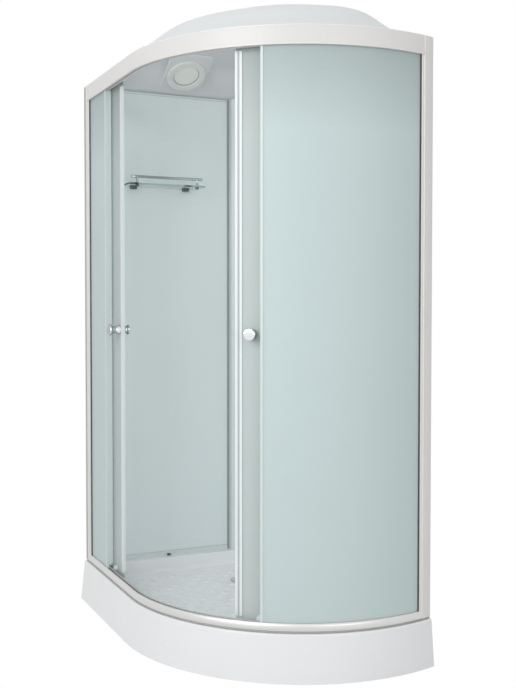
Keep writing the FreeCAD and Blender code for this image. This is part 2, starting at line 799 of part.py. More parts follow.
def make_fixed_glass():
    low = S.tray_top + GLASS_SEAT
    tall = S.opening_top + S.groove_deep - low
    start_y = BACK - S.left_fixed_end
    pane_end = BACK - S.post_width + 8
    node("left_fixed_glass", box("left_fixed_pane", (LEFT + S.fixed_inset, start_y, low),
                                 (S.glass_thick, pane_end - start_y, tall)))
    body = new_body("right_fixed_glass")
    pane = arc_strip(
        body_sketch(body, "right_fixed_outline", low), S.fixed_inset, S.fixed_inset + S.glass_thick,
        S.right_fixed_start, S.post_start - 0.2,
    )
    pad(body, pane, tall, "right_fixed_pane")
    node("right_fixed_glass", body)


def make_fixed_seals():
    """Channels on the free edges of the fixed panes, with a fin towards the doors."""
    low = S.tray_top + S.bottom_rail_tall
    tall = S.opening_top - low
    fin_low = S.low_bead + S.wheel_lift + S.wheel_radius + 2
    fin_tall = S.opening_top - fin_low
    front_y = BACK - S.left_fixed_end
    wide = dim(8)
    channel = box("left_channel", (LEFT + S.fixed_inset - 2, front_y - 2, low), (9, wide, tall))
    slot = box("left_channel_slot", (LEFT + S.fixed_inset, front_y, low - 1), (S.glass_thick, wide, tall + 2))
    fin = box("left_fin", (LEFT + S.fixed_inset + 7, front_y - 2, fin_low), (14, 1.5, fin_tall))
    left = cut("left_fixed_seal", fuse("left_seal_solid", [channel, fin]), [slot])
    body = new_body("right_fixed_seal")
    start = S.right_fixed_start
    outline = arc_strip(body_sketch(body, "right_channel_outline", low), S.fixed_inset - 2,
                        S.fixed_inset + 7, start - 0.19, start + 0.55)
    pad(body, outline, tall, "right_channel")
    fin_outline = arc_strip(body_sketch(body, "right_fin_outline", fin_low), S.fixed_inset + 6,
                            S.fixed_inset + 21, start - 0.19, start - 0.04)
    pad(body, fin_outline, fin_tall, "right_fin")
    gap = arc_strip(body_sketch(body, "right_gap_outline", low - 1), S.fixed_inset,
                    S.fixed_inset + S.glass_thick, start, start + 1)
    pocket(body, gap, tall + 2, "right_channel_slot")
    node("fixed_glass_seals", group("fixed_seals", [left, body]))


def make_gaskets():
    """Dark glazing strips between the fixed panes and the posts."""
    low = S.tray_top + S.bottom_rail_tall
    tall = S.opening_top - low
    edge_y = BACK - S.post_width - S.lip_width
    left = box("left_gasket", (LEFT + S.fixed_inset - 4, edge_y - 3, low), (4, 3, tall))
    body = new_body("right_gasket")
    start = S.post_start - 0.85
    outline = arc_strip(body_sketch(body, "right_gasket_outline", low), S.fixed_inset - 4,
                        S.fixed_inset, start - 0.27, start)
    pad(body, outline, tall, "right_gasket_pad")
    node("glass_gaskets", group("gaskets", [left, body]))


def make_rail_screws():
    """Pan-head screws that hold the rails to the posts, driven from inside."""
    screws = []
    for name, height in (("low", S.tray_top + 22), ("high", S.frame_top - 12)):
        spot = (LEFT + S.post_depth, BACK - 31, height)
        head = rod("left_screw_head_" + name, spot, (1, 0, 0), 4.5, 3)
        screws.append(head)
        start = front_point(S.post_start + 1.6, S.post_depth + 0.05, height)
        screws.append(rod("right_screw_head_" + name, start, inwards(S.post_start + 1.6), 4.5, 3))
    node("rail_screws", group("screws", screws))


def make_door_stops():
    """Rubber stops on the upper ledge that meet the rear axle heads of open doors."""
    low = S.top_bead - 4
    spots = door_spots("left")["tail_wheel"], door_spots("right")["tail_wheel"]
    left = box("left_stop", (LEFT + S.rail_depth, BACK - spots[0].distance + STOP_GAP, low), (4, 3, 16))
    body = new_body("right_stop")
    start = spots[1].degrees + arc_steps(STOP_GAP)
    outline = arc_strip(body_sketch(body, "right_stop_outline", low), S.rail_depth,
                        S.rail_depth + 4, start, start + arc_steps(dim(3)))
    pad(body, outline, 16, "right_stop_pad")
    node("door_stops", group("stops", [left, body]))


# ---------------------------------------------------------------- doors
PLATE_TALL = dim(22)
PLATE_THICK = dim(8)
PLATE_GAP = dim(0.25)
WHEEL_FROM_NOSE = dim(81)
GLIDE_FROM_NOSE = dim(151)
WHEEL_FROM_TAIL = dim(48)
GLIDE_FROM_TAIL = dim(118)
LEFT_KNOB_FROM_NOSE = dim(34)
RIGHT_KNOB_FROM_NOSE = dim(55)
INNER_KNOB_GAP = dim(0.35)
BOSS_RADIUS = dim(6.9)
STOP_GAP = dim(6)
HOLE_RADIUS = dim(7)


class LeftRun:
    """Places along the straight run, measured from the back wall plane."""

    def __init__(self, distance):
        self.distance = dim(distance)

    def point(self, inset, height):
        return (LEFT + inset, BACK - self.distance, dim(height))

    def inwards(self):
        return (1.0, 0.0, 0.0)


class ArcRun:
    """Places along the arc, measured in degrees from its start."""

    def __init__(self, degrees):
        self.degrees = dim(degrees)

    def point(self, inset, height):
        return front_point(self.degrees, inset, height)

    def inwards(self):
        return inwards(self.degrees)


def arc_steps(length):
    """Degrees of arc that a length takes at the door glass."""
    reach = S.front_radius - S.door_inset
    return length * (180.0 / math.pi) / reach


def door_spots(side):
    """Where a door's wheels, glides and knob sit."""
    if side == "left":
        nose = S.left_door_nose
        tail = S.left_door_tail
        return {
            "nose_wheel": LeftRun(nose - WHEEL_FROM_NOSE),
            "nose_glide": LeftRun(nose - GLIDE_FROM_NOSE),
            "tail_wheel": LeftRun(tail + WHEEL_FROM_TAIL),
            "tail_glide": LeftRun(tail + GLIDE_FROM_TAIL),
            "knob": LeftRun(nose - LEFT_KNOB_FROM_NOSE),
        }
    nose = S.right_door_nose
    tail = S.right_door_tail
    return {
        "nose_wheel": ArcRun(nose + arc_steps(WHEEL_FROM_NOSE)),
        "nose_glide": ArcRun(nose + arc_steps(GLIDE_FROM_NOSE)),
        "tail_wheel": ArcRun(tail - arc_steps(WHEEL_FROM_TAIL)),
        "tail_glide": ArcRun(tail - arc_steps(GLIDE_FROM_TAIL)),
        "knob": ArcRun(nose + arc_steps(RIGHT_KNOB_FROM_NOSE)),
    }


def wheel_heights():
    return (("low", S.low_bead + S.wheel_lift), ("high", S.top_bead + S.wheel_lift))


def radial_rod(name, spot, inset, height, radius, length):
    return rod(name, spot.point(inset, height), spot.inwards(), radius, length)


def door_pane(side):
    tall = S.door_top - S.door_bottom
    if side == "left":
        start_y = BACK - S.left_door_nose + 2
        end_y = BACK - S.left_door_tail - 2
        return box("left_pane", (LEFT + S.door_inset, start_y, S.door_bottom),
                   (S.glass_thick, end_y - start_y, tall))
    body = new_body("right_pane")
    outline = arc_strip(
        body_sketch(body, "right_pane_outline", S.door_bottom), S.door_inset,
        S.door_inset + S.glass_thick, S.right_door_nose + arc_steps(dim(2)),
        S.right_door_tail - arc_steps(dim(2)),
    )
    pad(body, outline, tall, "right_pane_pad")
    return body


def make_door_glass(side):
    spots = door_spots(side)
    holes = []
    for level, height in wheel_heights():
        for key in ("nose_wheel", "nose_glide", "tail_wheel", "tail_glide"):
            holes.append(
                radial_rod("{}_hole_{}_{}".format(side, key, level), spots[key],
                           S.door_inset - 5, height, HOLE_RADIUS, S.glass_thick + 10)
            )
    holes.append(
        radial_rod(side + "_knob_hole", spots["knob"], S.door_inset - 5, S.knob_height, 5,
                   S.glass_thick + 10)
    )
    node(side + "_door_glass", cut(side + "_glass_cut", door_pane(side), holes))


def seal_strip(side, name, outer, inner, start, end, low, tall):
    """An upright strip of a door; start and end are millimetres along the door from its nose."""
    if side == "left":
        end_y = BACK - S.left_door_nose + start
        return box(side + name, (LEFT + outer, end_y, low), (inner - outer, end - start, tall))
    body = new_body(side + name)
    outline = arc_strip(
        body_sketch(body, side + name + "_outline", low), outer, inner,
        S.right_door_nose + arc_steps(dim(start)), S.right_door_nose + arc_steps(dim(end)),
    )
    pad(body, outline, tall, side + name + "_pad")
    return body


def make_magnet_seal(side):
    """Leading strip of a door: a magnet nose, a web over the pane and a second ridge."""
    low = S.tray_top + S.bottom_rail_tall + 4
    tall = S.opening_top - 4 - low
    mid_in = S.door_inset
    mid_out = S.door_inset + S.glass_thick
    nose = seal_strip(side, "_nose", mid_in - 2.5, mid_out + 2.5, 0, S.seal_wide, low, tall)
    ridge_start, web_end = (16, 23) if side == "right" else (14, 17)
    web = seal_strip(side, "_web", mid_in - 1.5, mid_out + 1.5, S.seal_wide, web_end, low, tall)
    ridge = seal_strip(side, "_ridge", mid_in - 2.5, mid_out + 1.5, ridge_start, web_end, low, tall)
    slot = seal_strip(side, "_slot", mid_in, mid_out, 2, 40, low - 1, tall + 2)
    node(side + "_door_magnet_seal",
         cut(side + "_magnet_cut", fuse(side + "_magnet_solid", [nose, web, ridge]), [slot]))


def make_rear_seal(side):
    """Trailing channel of a door with a fin that meets the fixed pane's fin."""
    low = S.tray_top + S.bottom_rail_tall + 4
    tall = S.opening_top - 4 - low
    inset = S.door_inset
    if side == "left":
        tail_y = BACK - S.left_door_tail
        channel = box("left_rear_channel", (LEFT + inset - 2, tail_y - 9, low), (9, 9, tall))
        fin = box("left_rear_fin", (LEFT + inset - 5, tail_y - 1.5, low), (3, 1.5, tall))
        slot = box("left_rear_slot", (LEFT + inset, tail_y - 11, low - 1), (S.glass_thick, 9, tall + 2))
        node("left_door_rear_seal",
             cut("left_rear_cut", fuse("left_rear_solid", [channel, fin]), [slot]))
        return
    body = new_body("right_rear")
    tail = S.right_door_tail
    channel = arc_strip(body_sketch(body, "right_rear_outline", low), inset - 2, inset + 7,
                        tail - arc_steps(dim(9)), tail)
    pad(body, channel, tall, "right_rear_channel")
    fin = arc_strip(body_sketch(body, "right_rear_fin_outline", low), inset - 5, inset - 1,
                    tail - arc_steps(dim(1.5)), tail)
    pad(body, fin, tall, "right_rear_fin")
    gap = arc_strip(body_sketch(body, "right_rear_gap", low - 1), inset, inset + S.glass_thick,
                    tail - arc_steps(dim(20)), tail - arc_steps(dim(2)))
    pocket(body, gap, tall + 2, "right_rear_slot")
    node("right_door_rear_seal", body)


def carrier_plate(side, name, spots, height):
    """Inner plate of a carrier, with rounded ends, as one rod-ended bar."""
    first, second = spots
    low = height - PLATE_TALL / 2
    inset = S.door_inset + S.glass_thick + PLATE_GAP
    if side == "left":
        start_y = BACK - second.distance
        start_y = start_y if second.distance.number > first.distance.number else BACK - first.distance
        span = abs(first.distance.number - second.distance.number)
        return box(name, (LEFT + inset, start_y, low), (PLATE_THICK, span, PLATE_TALL))
    angles = sorted([first.degrees, second.degrees], key=lambda value: value.number)
    body = new_body(name)
    outline = arc_strip(body_sketch(body, name + "_outline", low), inset, inset + PLATE_THICK,
                        angles[0], angles[1])
    pad(body, outline, PLATE_TALL, name + "_pad")
    return body


def make_carriers(side):
    """Four carriers of a door: plate inside, axle and glide disc outside the pane."""
    spots = door_spots(side)
    outer = S.door_inset
    inner = S.door_inset + S.glass_thick + PLATE_GAP
    carriers = []
    for level, height in wheel_heights():
        for end in ("nose", "tail"):
            wheel = spots[end + "_wheel"]
            glide = spots[end + "_glide"]
            tag = "{}_{}_{}".format(side, end, level)
            pieces = [carrier_plate(side, tag + "_plate", (wheel, glide), height)]
            for key, spot in (("wheel", wheel), ("glide", glide)):
                pieces.append(
                    radial_rod(tag + "_cap_" + key, spot, inner, height, PLATE_TALL / 2, PLATE_THICK)
                )
                pieces.append(
                    radial_rod(tag + "_boss_" + key, spot, outer - 1.5, height, BOSS_RADIUS,
                               S.glass_thick + 2.5)
                )
            pieces.append(
                radial_rod(tag + "_axle", wheel, S.track_inset - 5.5, height, S.axle_radius, 22)
            )
            pieces.append(radial_rod(tag + "_head", wheel, S.track_inset - 6, height, 5, 2))
            pieces.append(radial_rod(tag + "_glide", glide, S.track_inset - 3, height, 8, 8))
            pieces.append(radial_rod(tag + "_stem", glide, S.track_inset, height, 5, 10))
            carriers.append(fuse(tag + "_carrier", pieces))
    node(side + "_door_carriers", group(side + "_carrier_set", carriers))


def make_wheels(side):
    """Grooved wheels that run on the beads, one on every carrier."""
    half = dim(3.5)
    bore = S.axle_radius + 0.05
    profile = [
        (bore, -half), (S.wheel_radius, -half), (S.wheel_radius, dim(-2.8)),
        (S.groove_radius, dim(-2.1)), (S.groove_radius, 2.1), (S.wheel_radius, 2.8),
        (S.wheel_radius, half), (bore, half),
    ]
    spots = door_spots(side)
    for level, height in wheel_heights():
        for end in ("nose", "tail"):
            spot = spots[end + "_wheel"]
            wheel = turned("{}_{}_{}_wheel".format(side, end, level), profile)
            place(wheel, spot.point(S.track_inset, height), along(spot.inwards()))
            node("{}_{}_{}_wheel".format(side, end, level), wheel)


def make_knobs(side):
    """Spool-shaped pull outside, smaller pull inside, joined through the pane."""
    spot = door_spots(side)["knob"]
    outer_profile = [
        (0, -5.3), (4.8, -5.3), (4.8, 0), (15.5, 0), (16.5, 1), (16.5, 4), (14.5, 8), (12.5, 14),
        (12.3, 22), (14, 29), (18, 33), (S.knob_radius, 35.5), (S.knob_radius, 39),
        (S.knob_radius - 1.2, 41), (S.knob_radius - 3.5, 42), (0, 42),
    ]
    outer = turned(side + "_knob_outside", outer_profile)
    x, y, z = spot.inwards()
    place(outer, spot.point(S.door_inset, S.knob_height), along((-x, -y, z)))
    node(side + "_knob_outer", outer)
    inner_profile = [
        (0, 0), (14, 0), (15, 1), (15, 4), (13, 8), (12, 14), (14, 19), (17, 21.5), (18, 23.5),
        (18, 25), (17, 26.5), (15, 27), (0, 27),
    ]
    inner = turned(side + "_knob_inside", inner_profile)
    inner_inset = S.door_inset + S.glass_thick + INNER_KNOB_GAP
    place(inner, spot.point(inner_inset, S.knob_height), along((x, y, z)))
    node(side + "_knob_inner", inner)


# ---------------------------------------------------------------- walls
SIDE_FRONT = dim(-534.5)
SIDE_FOOT_FRONT = dim(-515)
BATTEN = dim(30)


def make_back_wall():
    start_x = LEFT + S.post_depth
    end_x = LEFT + S.column_start - S.joint_wide
    low = S.tray_top
    tall = S.frame_top - S.head_trim_tall - low
    face_y = BACK - S.wall_thick
    node("back_wall_panel",
         box("back_sheet", (start_x, face_y, low), (end_x - start_x, S.panel_thick, tall)))
    deep = S.wall_thick - S.panel_thick
    batten_y = BACK - deep
    bars = [
        box("back_batten_left", (start_x, batten_y, low), (BATTEN, deep, tall)),
        box("back_batten_right", (end_x - BATTEN, batten_y, low), (BATTEN, deep, tall)),
    ]
    for number, height in enumerate((low, low + tall / 2, low + tall - BATTEN)):
        bars.append(
            box("back_cross_{}".format(number), (start_x + BATTEN, batten_y, height),
                (end_x - start_x - BATTEN * 2, deep, BATTEN))
        )
    node("back_wall_frame", group("back_battens", bars))
    node("wall_joint_profile",
         box("joint_profile", (end_x, face_y - 3, S.ledge_top),
             (S.joint_wide, S.wall_thick + 3, S.frame_top - S.ledge_top)))


def make_side_wall():
    low = S.tray_top
    tall = S.frame_top - S.head_trim_tall - low
    face_x = RIGHT - S.wall_thick
    node("side_wall_panel",
         box("side_sheet", (face_x, SIDE_FRONT, low), (S.panel_thick, BACK - SIDE_FRONT, tall)))
    deep = S.wall_thick - S.panel_thick
    batten_x = RIGHT - deep
    bars = []
    for number, y in enumerate((SIDE_FRONT, (SIDE_FRONT + BACK) / 2, BACK - BATTEN)):
        bars.append(box("side_batten_{}".format(number), (batten_x, y, low), (deep, BATTEN, tall)))
    half_span = (BACK - SIDE_FRONT) / 2 - BATTEN
    for number, height in enumerate((low, low + tall / 2, low + tall - BATTEN)):
        for half, y in enumerate((SIDE_FRONT + BATTEN, (SIDE_FRONT + BACK) / 2 + BATTEN)):
            span = half_span if half == 0 else half_span - BATTEN
            bars.append(
                box("side_cross_{}_{}".format(number, half), (batten_x, y, height), (deep, span, BATTEN))
            )
    node("side_wall_frame", group("side_battens", bars))


def make_wall_trims():
    """Flat trims along the foot and the head of both walls."""
    end_x = LEFT + S.column_start - S.joint_wide
    front_y = BACK - S.wall_thick - 2
    side_x = RIGHT - S.wall_thick - 2
    side_end = BACK - S.wall_thick - S.column_proud
    trims = []
    rows = (
        ("foot", S.ledge_top, S.tray_top - S.ledge_top, LEFT + KERB_INNER, SIDE_FOOT_FRONT),
        ("head", S.frame_top - S.head_trim_tall, S.head_trim_tall, LEFT + S.post_depth, SIDE_FRONT),
    )
    for name, height, tall, start_x, start_y in rows:
        trims.append(box("back_trim_" + name, (start_x, front_y, height),
                         (end_x - start_x, BACK - front_y, tall)))
        trims.append(box("side_trim_" + name, (side_x, start_y, height),
                         (RIGHT - side_x, side_end - start_y, tall)))
        trims.append(box("corner_trim_" + name, (side_x + 2, side_end, height),
                         (RIGHT - side_x - 2, BACK - side_end, tall)))
    node("wall_trims", group("trims", trims))


def make_column():
    """Corner column: a moulded cover, open at the back for the water pipes."""
    start_x = LEFT + S.column_start
    end_x = RIGHT - S.wall_thick
    face_y = BACK - S.wall_thick - S.column_proud
    skin = dim(3)
    tall = S.frame_top - S.ledge_top
    body = new_body("column_body")
    outline = polygon(body_sketch(body, "column_outline", S.ledge_top), [
        (start_x, BACK), (start_x, face_y + 14), (start_x + 14, face_y),
        (end_x - 14, face_y), (end_x, face_y + 14), (end_x, BACK),
    ])
    pad(body, outline, tall, "column_cover")
    inside = polygon(body_sketch(body, "column_inside", S.ledge_top + skin), [
        (start_x + skin, BACK + 1), (start_x + skin, face_y + 15.3),
        (start_x + 15.3, face_y + skin), (end_x - 15.3, face_y + skin),
        (end_x - skin, face_y + 15.3), (end_x - skin, BACK + 1),
    ])
    pocket(body, inside, tall - skin * 2, "column_hollow")
    holes = []
    middle = (start_x + end_x) / 2
    for number, spot in enumerate((middle - S.inlet_spacing / 2, middle + S.inlet_spacing / 2)):
        holes.append(rod("inlet_hole_{}".format(number), (spot, face_y - 5, S.mixer_height), (0, 1, 0), 12, 20))
    node("corner_column", cut("column_cut", body, holes))
    return middle, face_y


def make_mixer(middle, face_y):
    """Thermostatic-style bar mixer: body with inlets through the column, cap and lever."""
    height = S.mixer_height
    half = S.inlet_spacing / 2
    bar_y = face_y - 32
    bar = rod("mixer_bar", (middle - half - 18, bar_y, height), (1, 0, 0), 20, S.inlet_spacing + 36)
    pieces = [bar]
    for number, spot in enumerate((middle - half, middle + half)):
        pieces.append(rod("rosette_{}".format(number), (spot, face_y - 8, height), (0, 1, 0), 24, 8))
        pieces.append(rod("neck_{}".format(number), (spot, face_y - 32, height), (0, 1, 0), 14, 26))
        pieces.append(rod("inlet_{}".format(number), (spot, face_y - 10, height), (0, 1, 0),
                          S.inlet_radius, 52))
    pieces.append(rod("mixer_seat", (middle, bar_y, height), (0, -1, 0), 22, 26))
    pieces.append(rod("hose_collar", (middle, bar_y, height), (0, 0, -1), 15, 24))
    pieces.append(rod("hose_outlet", (middle, bar_y, height), (0, 0, -1), S.inlet_radius, 38))
    bores = [rod("hose_bore", (middle, bar_y, height - 10), (0, 0, -1), 7, 30)]
    for number, spot in enumerate((middle - half, middle + half)):
        bores.append(rod("inlet_bore_{}".format(number), (spot, face_y + 10, height), (0, 1, 0), 7, 40))
    node("mixer_body", cut("mixer_cut", fuse("mixer_solid", pieces), bores))
    cap_y = bar_y - 26.3
    cap = turned("cap_turned", [
        (0, 0), (22, 0), (23, 1), (23, 16), (19, 21), (0, 21),
    ])
    place(cap, (middle, cap_y, height), along((0, -1, 0)))
    slot = box("cap_slot", (middle - 8.5, cap_y - 22, height - 24), (17, 14, 35))
    pivot_y = cap_y - 15
    cap_cut = cut("cap_cut", cap, [slot])
    pin = rod("lever_pin", (middle - 14, pivot_y, height + 2), (1, 0, 0), 2.5, 28)
    node("mixer_cap", fuse("cap_with_pin", [cap_cut, pin]))
    grip = box("lever_grip", (middle - 8, pivot_y - 5.5, height - 80), (16, 8, 82))
    eye = rod("lever_eye", (middle - 8, pivot_y, height + 2), (1, 0, 0), 6, 16)
    hole = rod("lever_hole", (middle - 9, pivot_y, height + 2), (1, 0, 0), 2.55, 18)
    node("mixer_lever", cut("lever_cut", fuse("lever_solid", [grip, eye]), [hole]))


# ---------------------------------------------------------------- shelf
def make_shelf():
    half = S.shelf_long / 2
    low = S.shelf_height - 6
    wall_y = BACK - S.wall_thick
    pane = box("shelf_pane", (S.shelf_middle - half, S.shelf_front, low),
               (S.shelf_long, wall_y - 4 - S.shelf_front, 6))
    node("shelf_glass", pane)
    bar_y = S.shelf_front + 12
    bar_long = S.shelf_long - 24
    pieces = [
        rod("guard_bar", (S.shelf_middle - bar_long / 2, bar_y, S.guard_height), (1, 0, 0), 5.5, bar_long),
    ]
    post_reach = bar_long / 2 - 24
    for number, x in enumerate((S.shelf_middle - post_reach, S.shelf_middle + post_reach)):
        pieces.append(rod("guard_post_{}".format(number), (x, bar_y, S.shelf_height), (0, 0, 1), 4,
                          S.guard_height - S.shelf_height))
        pieces.append(rod("guard_foot_{}".format(number), (x, bar_y, S.shelf_height), (0, 0, 1), 7, 4))
    node("shelf_guard_rail", fuse("guard_rail", pieces))
    brackets = []
    for number, x in enumerate((S.shelf_middle - 110, S.shelf_middle + 108)):
        block = box("bracket_block_{}".format(number), (x - 11, wall_y - 24, low - 7), (22, 24, 16))
        mouth = box("bracket_mouth_{}".format(number), (x - 12, wall_y - 26, low), (24, 22, 6))
        brackets.append(cut("shelf_bracket_{}".format(number), block, [mouth]))
    for number, x in enumerate((S.shelf_middle - post_reach, S.shelf_middle + post_reach)):
        brackets.append(rod("guard_nut_{}".format(number), (x, bar_y, low - 6), (0, 0, 1), 7, 6))
    node("shelf_brackets", group("brackets", brackets))


# ---------------------------------------------------------------- roof and lamp
ROOF_LEVELS = (
    (1996, 47, 31, 137),
    (2033, 87, 71, 128),
    (2081, 137, 121, 117),
    (2103, 197, 181, 104),
    (2129, 277, 261, 87),
    (S.roof_top, 377, 361, 30),
)
LIP_CORNER = dim(20)


def roof_loft(name, skin):
    """The roof as a solid, drawn in by a skin and lowered by the same; levels run upwards."""
    levels = [
        (S.frame_top, S.roof_lip_inset, S.roof_lip_wall, LIP_CORNER),
        (S.roof_lip_top, S.roof_lip_inset, S.roof_lip_wall, LIP_CORNER),
    ]
    levels.extend(ROOF_LEVELS)
    sections = []
    for number, (height, front, wall, corner) in enumerate(levels):
        sketch = loose_sketch("{}_{}".format(name, number), dim(height) - skin)
        sections.append(rounded_plan(sketch, dim(front) + skin, dim(wall) + skin, dim(corner) - skin))
    loft = doc.addObject("Part::Loft", name)
    loft.Sections = sections
    loft.Solid = True
    loft.Ruled = True
    return loft


def lamp_point(depth):
    """A point on the lamp's axis; positive depth goes up into the roof."""
    return (S.lamp_x, S.lamp_y + depth * sin_of(S.lamp_tilt), S.lamp_z + depth * cos_of(S.lamp_tilt))


def lamp_axis():
    tilt = math.radians(S.lamp_tilt.number)
    return (0.0, math.sin(tilt), math.cos(tilt))


def make_roof():
    """Hollow roof: flange on the frame, upright lip, rounded dome and a seat for the lamp."""
    skin = S.roof_skin
    outer = roof_loft("roof_outside", dim(0))
    inner = roof_loft("roof_inside", skin)
    shell = cut("roof_hollowed", outer, [inner])
    flange_body = new_body("roof_flange")
    flange = plan_outline(body_sketch(flange_body, "flange_outline", S.frame_top), dim(3), dim(1))
    pad(flange_body, flange, skin, "flange_pad")
    opening = rounded_plan(
        body_sketch(flange_body, "flange_opening", S.frame_top - 1), S.roof_lip_inset + skin,
        S.roof_lip_wall + skin, LIP_CORNER - skin,
    )
    pocket(flange_body, opening, skin + 2, "flange_hollow")
    seat = doc.addObject("Part::Box", "lamp_seat_block")
    seat_wide = dim(176)
    seat_long = dim(196)
    bind(seat, "Length", seat_wide)
    bind(seat, "Width", seat_long)
    bind(seat, "Height", 60)
    tilt = S.lamp_tilt
    below = lamp_point(dim(0))
    corner = (
        S.lamp_x - seat_wide / 2,
        below[1] - (seat_long / 2 + 10) * cos_of(tilt),
        below[2] + (seat_long / 2 + 10) * sin_of(tilt),
    )
    place(seat, corner, Rotation(Vector(1, 0, 0), -tilt.number))
    trimmed = doc.addObject("Part::MultiCommon", "lamp_seat_solid")
    trimmed.Shapes = [seat, outer]
    hollow = doc.addObject("Part::Box", "lamp_seat_hollow")
    bind(hollow, "Length", seat_wide - skin * 2)
    bind(hollow, "Width", seat_long - skin * 2)
    bind(hollow, "Height", 90)
    rise = dim(3)
    inner_corner = (
        corner[0] + skin,
        corner[1] + skin * cos_of(tilt) + rise * sin_of(tilt),
        corner[2] - skin * sin_of(tilt) + rise * cos_of(tilt),
    )
    place(hollow, inner_corner, Rotation(Vector(1, 0, 0), -tilt.number))
    lamp_seat = cut("lamp_seat", trimmed, [hollow])
    bores = [
        rod("bezel_bore", lamp_point(dim(-20)), lamp_axis(), S.lens_radius + 12, 27),
        rod("housing_bore", lamp_point(dim(0)), lamp_axis(), S.lens_radius + 5, 120),
    ]
    node("roof_shell", cut("roof", fuse("roof_solid", [shell, flange_body, lamp_seat]), bores))


def make_lamp():
    """Recessed lamp: bezel ring, lens, housing behind the roof and its cable gland."""
    rim = S.lamp_radius
    bezel = turned("bezel_turned", [
        (S.lens_radius, -2), (S.lens_radius + 4, -8), (rim - 3, -8), (rim, -5), (rim, 0),
        (S.lens_radius + 11, 0), (S.lens_radius + 11, 6), (S.lens_radius, 6),
    ])
    place(bezel, lamp_point(dim(0)), along(lamp_axis()))
    node("lamp_bezel", bezel)
    lens = turned("lens_turned", [
        (0, -1.6), (25, -1.3), (40, -0.8), (S.lens_radius, 0), (S.lens_radius, 3), (0, 3),
    ])
    place(lens, lamp_point(dim(0)), along(lamp_axis()))
    node("lamp_lens", lens)
    can = turned("can_turned", [
        (0, 50), (S.lens_radius - 6, 50), (S.lens_radius + 2, 44), (S.lens_radius + 2, 6),
        (S.lens_radius + 4, 6), (S.lens_radius + 4, 46), (S.lens_radius - 5, 53), (0, 53),
    ])
    place(can, lamp_point(dim(0)), along(lamp_axis()))
    wire_way = rod("can_wire_way", lamp_point(dim(45)), lamp_axis(), 5, 12)
    node("lamp_housing", cut("can_cut", can, [wire_way]))
    gland = turned("gland_turned", [
        (3.5, 48), (4.9, 48), (4.9, 53), (9, 53), (9, 58), (7, 60), (7, 68), (3.5, 68),
    ])
    place(gland, lamp_point(dim(0)), along(lamp_axis()))
    node("lamp_cable_gland", gland)


def make_roof_screws():
    """Screws through the roof flange into the rail and the walls."""
    low = S.frame_top + S.roof_skin
    screws = []
    for number, angle in enumerate((10, 35, 60, 85)):
        screws.append(rod("front_screw_{}".format(number), front_point(angle, dim(8.5), low), (0, 0, 1), 4, 2.5))
    for number, x in enumerate((-250, 0, 290)):
        screws.append(rod("back_screw_{}".format(number), (x, BACK - 9, low), (0, 0, 1), 4, 2.5))
    for number, y in enumerate((-400, 0, 400)):
        screws.append(rod("side_screw_{}".format(number), (RIGHT - 9, y, low), (0, 0, 1), 4, 2.5))
    node("roof_screws", group("roof_fixings", screws))


# ---------------------------------------------------------------- build
def build():
    make_tray_basin()
    make_tray_apron()
    make_sill_gasket()
    make_tray_support()
    make_feet()
    make_apron_clips()
    make_drain()
    make_rails()
    make_posts()
    make_fixed_glass()
    make_fixed_seals()
    make_gaskets()
    make_rail_screws()
    make_door_stops()
    for side in ("left", "right"):
        make_door_glass(side)
        make_magnet_seal(side)
        make_rear_seal(side)
        make_carriers(side)
        make_wheels(side)
        make_knobs(side)
    make_back_wall()
    make_side_wall()
    make_wall_trims()
    middle, face_y = make_column()
    make_mixer(middle, face_y)
    make_shelf()
    make_roof()
    make_lamp()
    make_roof_screws()


def check_and_write():
    """Stop on any failed object or bad shape, then write one file per piece."""
    doc.recompute()
    for item in doc.Objects:
        if "Invalid" in item.State or "Error" in item.State:
            raise RuntimeError("failed object: {} ({})".format(item.Name, item.Label))
    for item in PARTS:
        if item.Shape.isNull() or not item.Shape.isValid():
            raise RuntimeError("bad shape: {}".format(item.Label))
    os.makedirs("parts", exist_ok=True)
    for item in PARTS:
        item.Shape.exportStep("parts/{}.step".format(item.Label))
        size = item.Shape.BoundBox
        print("{:26s} {:2d} solids {:12.0f} mm3  x {:7.1f} {:7.1f}  y {:7.1f} {:7.1f}  z {:7.1f} {:7.1f}".format(
            item.Label, len(item.Shape.Solids), item.Shape.Volume,
            size.XMin, size.XMax, size.YMin, size.YMax, size.ZMin, size.ZMax))
    print(len(PARTS), "parts")


build()
check_and_write()
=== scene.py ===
"""Looks of a quadrant shower enclosure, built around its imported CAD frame.

The frame's origin is on the floor at the middle of the plan, +Y runs to the short back wall and +X to
the long side wall. "Run" is the distance along the outer face of the front from the back wall, and
"inset" is the distance inwards from that face. All lengths are metres.
"""

import json
import logging
import math
from dataclasses import dataclass, field
from enum import Enum
from typing import Callable, Iterable, Sequence

import bmesh
import bpy
from mathutils import Matrix, Vector


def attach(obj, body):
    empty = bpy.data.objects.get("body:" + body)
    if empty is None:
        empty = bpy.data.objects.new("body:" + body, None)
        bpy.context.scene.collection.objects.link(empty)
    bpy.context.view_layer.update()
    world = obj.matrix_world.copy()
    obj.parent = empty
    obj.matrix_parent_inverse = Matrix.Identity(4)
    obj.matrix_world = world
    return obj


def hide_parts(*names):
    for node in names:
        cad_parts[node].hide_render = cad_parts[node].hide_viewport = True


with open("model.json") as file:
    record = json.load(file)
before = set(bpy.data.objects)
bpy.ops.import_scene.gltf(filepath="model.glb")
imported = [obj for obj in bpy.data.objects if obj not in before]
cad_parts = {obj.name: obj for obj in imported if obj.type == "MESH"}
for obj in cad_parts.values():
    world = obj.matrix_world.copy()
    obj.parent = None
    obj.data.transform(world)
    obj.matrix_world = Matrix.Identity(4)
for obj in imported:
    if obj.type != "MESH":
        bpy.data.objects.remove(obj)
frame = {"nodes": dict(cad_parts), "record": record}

LOG = logging.getLogger("shower")
Point2 = tuple[float, float]
Point3 = tuple[float, float, float]
